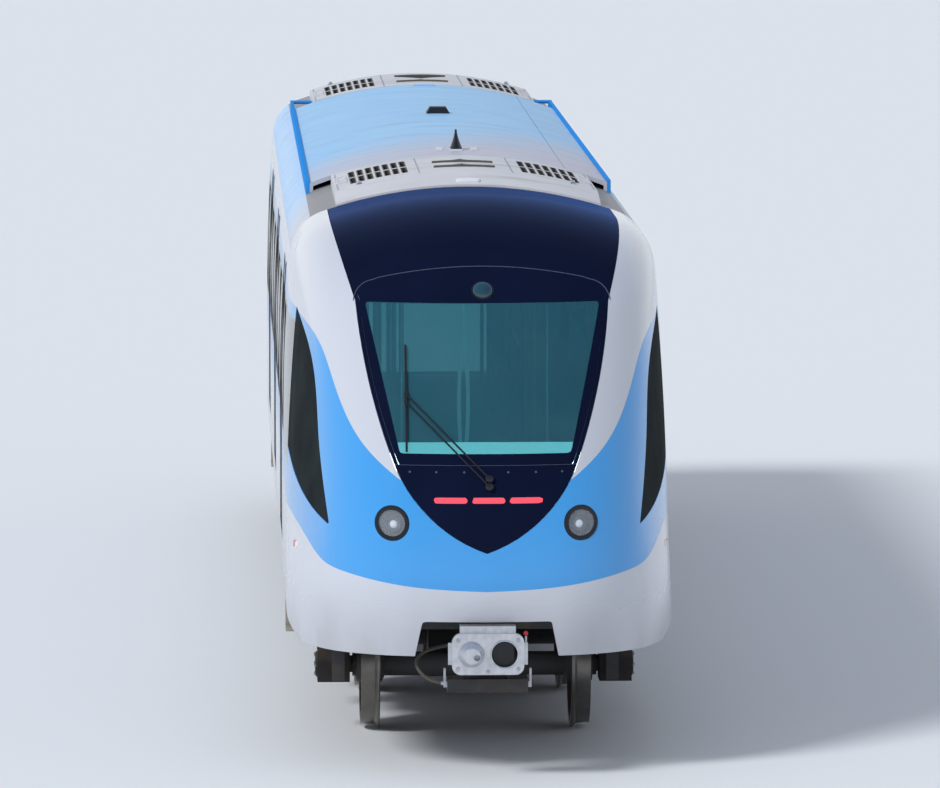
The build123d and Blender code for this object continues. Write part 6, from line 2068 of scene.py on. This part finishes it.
# %% Axle box caps
CAP = ((-0.010, 0.092), (0.006, 0.092), (0.012, 0.086), (0.012, 0.070), (0.016, 0.064), (0.016, 0.020))
CAP_BOLT, BOLT_RING = ((-0.004, 0.011), (0.009, 0.011), (0.012, 0.008)), 0.079
CAP_X, CAP_FACE, CAP_BOLTS = 1.120, 0.012, 6
for end, axles in (("front", (1, 2)), ("rear", (3, 4))):
    caps, bolts = [], []
    for number in axles:
        low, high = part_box(f"wheelset_{number}")
        for side in SIDES:
            middle = np.array((side * CAP_X, (low.y + high.y) / 2, AXLE_Z))
            caps.append(turned(CAP, middle, (side, 0, 0), 40))
            ring_y, ring_z = ring(BOLT_RING, CAP_BOLTS).T
            places = middle + np.stack((np.full_like(ring_y, side * CAP_FACE), ring_y, ring_z), 1)
            bolts.append(turned(CAP_BOLT, places, (side, 0, 0), 6))
    dress(f"axle_box_caps_{end}", join(*caps), cast, body=f"bogie_{end}")
    dress(f"axle_cap_bolts_{end}", join(*bolts), bright, body=f"bogie_{end}")

# %% Pipes along the frame
PIPE_Z, PIPE_RADIUS, PIPE_X = 0.930, 0.015, (0.42, 0.47)
PIPE_RUNS = ((2.2, 5.60), (13.15, 17.3))
pipes = [
    sweep([(side * x, TIP + s, PIPE_Z) for s in np.linspace(*run, 8)], ring(PIPE_RADIUS, 12), (0, 0, 1))
    for side in SIDES
    for x in PIPE_X
    for run in PIPE_RUNS
]
dress("brake_pipes", join(*pipes), case_paint)

# %% [markdown]
# ## Inside
#
# Through tinted glass the saloon shows as pale lining, blue seats and bright poles. A dashboard
# cover fills the foot of the windscreen, where the photograph has its brightest strip.

# %% Dashboard cover
DASH_TOP, DASH_FOOT, DASH_BACK, DASH_CLEAR = 2.205, 2.075, 1.080, 0.045
DASH_HALF = 0.900
across = np.linspace(-DASH_HALF, DASH_HALF, 41)
front, _ = on_nose(across, DASH_TOP)
front_y = front[:, 1] + DASH_CLEAR
back_y = np.maximum(TIP + DASH_BACK, front_y + 0.05)
edge = np.concatenate((np.stack((across, front_y), 1), np.stack((across, back_y), 1)[::-1]))
middle = edge.mean(axis=0)
rings = [
    np.column_stack((middle + (edge - middle) * shrink, np.full(len(edge), z)))
    for z, shrink in ((DASH_FOOT, 1.0), (DASH_TOP - 0.02, 1.0), (DASH_TOP, 0.985))
]
# Moulded plastic: pale and even, with a faint grain
lining = two_tone(
    "moulded_pale_lining", ("#e4e6e4", "#cfd2d1"), (3.0, 4.0), grain=(150.0, 3.0), bump=(0.15, 0.0006),
    Roughness=0.5,
)
# The same moulding in the sun. Its glow stands for the daylight that the big screen lets in
sunlit = two_tone(
    "sunlit_dashboard_moulding", ("#f2f5f4", "#dfe4e3"), (3.0, 4.0), grain=(90.0, 3.0), bump=(0.15, 0.0006),
    Roughness=0.5, Emission_Color=colour("#e4f7f5"), Emission_Strength=5.0,
)
dress("dashboard_cover", stacked(np.array(rings)), sunlit)

# %% Split stanchion behind the screen
STANCHION_S, STANCHION_X, STANCHION_FOOT, STANCHION_TOP = 2.45, (-0.115, -0.050), 1.140, 3.300
rises = np.linspace(STANCHION_FOOT, STANCHION_TOP, 25)
# The two poles part and meet again over this height
PART_FOOT, PART_RUN = 1.6, 1.5
part_way = 0.5 - 0.5 * np.cos(2 * np.pi * np.clip((rises - PART_FOOT) / PART_RUN, 0, 1))
mid_x = sum(STANCHION_X) / 2
poles = [
    sweep(
        np.stack((mid_x + (x - mid_x) * part_way, np.full_like(rises, TIP + STANCHION_S), rises), 1),
        ring(0.014, 14), (0, 1, 0),
    )
    for x in STANCHION_X
]
# Satin steel with a painted glow that stands for the daylight from the screen, so it stands out pale
# against the saloon
daylit = two_tone(
    "daylit_satin_steel", ("#c3c9cc", "#e3e7e9"), (60.0, 4.0), bump=(0.1, 0.0006), stretch=(1, 1, 0.1),
    Roughness=0.4, Emission_Color=colour("#dfeef0"), Emission_Strength=0.6,
)
dress("split_stanchion", join(*poles), daylit)

# %% Ceiling lights
LIGHT_X, LIGHT_Z, LIGHT_RUN = 0.62, 3.1915, (2.2, 17.3)
COVER = (
    (0.070, 0.004), (0.070, -0.010), (0.055, -0.026), (-0.055, -0.026), (-0.070, -0.010), (-0.070, 0.004),
)
# Opal acrylic with lamps behind it: an even white glow
opal = two_tone(
    "opal_light_cover", ("#f4f6f6", "#e6eaea"), (40.0, 3.0), Roughness=0.45,
    Emission_Color=colour("#f2f8ff"), Emission_Strength=1.4,
)
covers = [
    sweep([(side * LIGHT_X, TIP + s, LIGHT_Z) for s in np.linspace(*LIGHT_RUN, 9)], COVER, (0, 0, 1))
    for side in SIDES
]
dress("ceiling_light_covers", join(*covers), opal)

# %% Inside finishes
give(lining, "ceiling", "front_shelf")

# Moulded shells: blue with a soft gloss, and a dark joint every half metre
SEAT_PITCH, SEAT_JOINT = 0.5, 0.012
seat, tree, shader, place = start("moulded_seat_shell")
grain = cloudy(tree, place, 170.0, 3.0)
tone = add(
    tree, "Mix", {0: cloudy(tree, place, 4.0, 4.0), 6: colour("#2d5aa0"), 7: colour("#274e8e")},
    data_type="RGBA",
).outputs[2]
places = add(
    tree, "Math", {0: add(tree, "SeparateXYZ", {0: place}).outputs["Y"], 1: SEAT_PITCH},
    operation="FLOORED_MODULO",
)
tone = add(
    tree, "Mix",
    {
        0: add(tree, "Math", {0: places, 1: SEAT_JOINT}, operation="LESS_THAN"), 6: tone,
        7: colour("#16294a"),
    },
    data_type="RGBA",
).outputs[2]
finish_with(
    tree, shader, Base_Color=tone, Roughness=0.48,
    Normal=add(tree, "Bump", {"Height": grain, "Strength": 0.2, "Distance": 0.0008}),
)
give(seat, "seats")

# Rubber sheet: mid grey and dull, with flecks some 8 mm across
sheet, tree, shader, place = start("speckled_rubber_floor")
flecks = add(tree, "TexVoronoi", {"Vector": place, "Scale": 130.0}).outputs["Distance"]
tone = add(
    tree, "Mix",
    {
        0: add(
            tree, "MapRange", {"Value": flecks, "From Min": 0.10, "From Max": 0.25},
            interpolation_type="SMOOTHSTEP",
        ),
        6: colour("#9a9ca0"), 7: colour("#55585d"),
    },
    data_type="RGBA",
).outputs[2]
finish_with(
    tree, shader, Base_Color=tone, Roughness=0.7,
    Normal=add(tree, "Bump", {"Height": flecks, "Strength": 0.1, "Distance": 0.0006}),
)
give(sheet, "floor")
give(bright, "grab_poles")
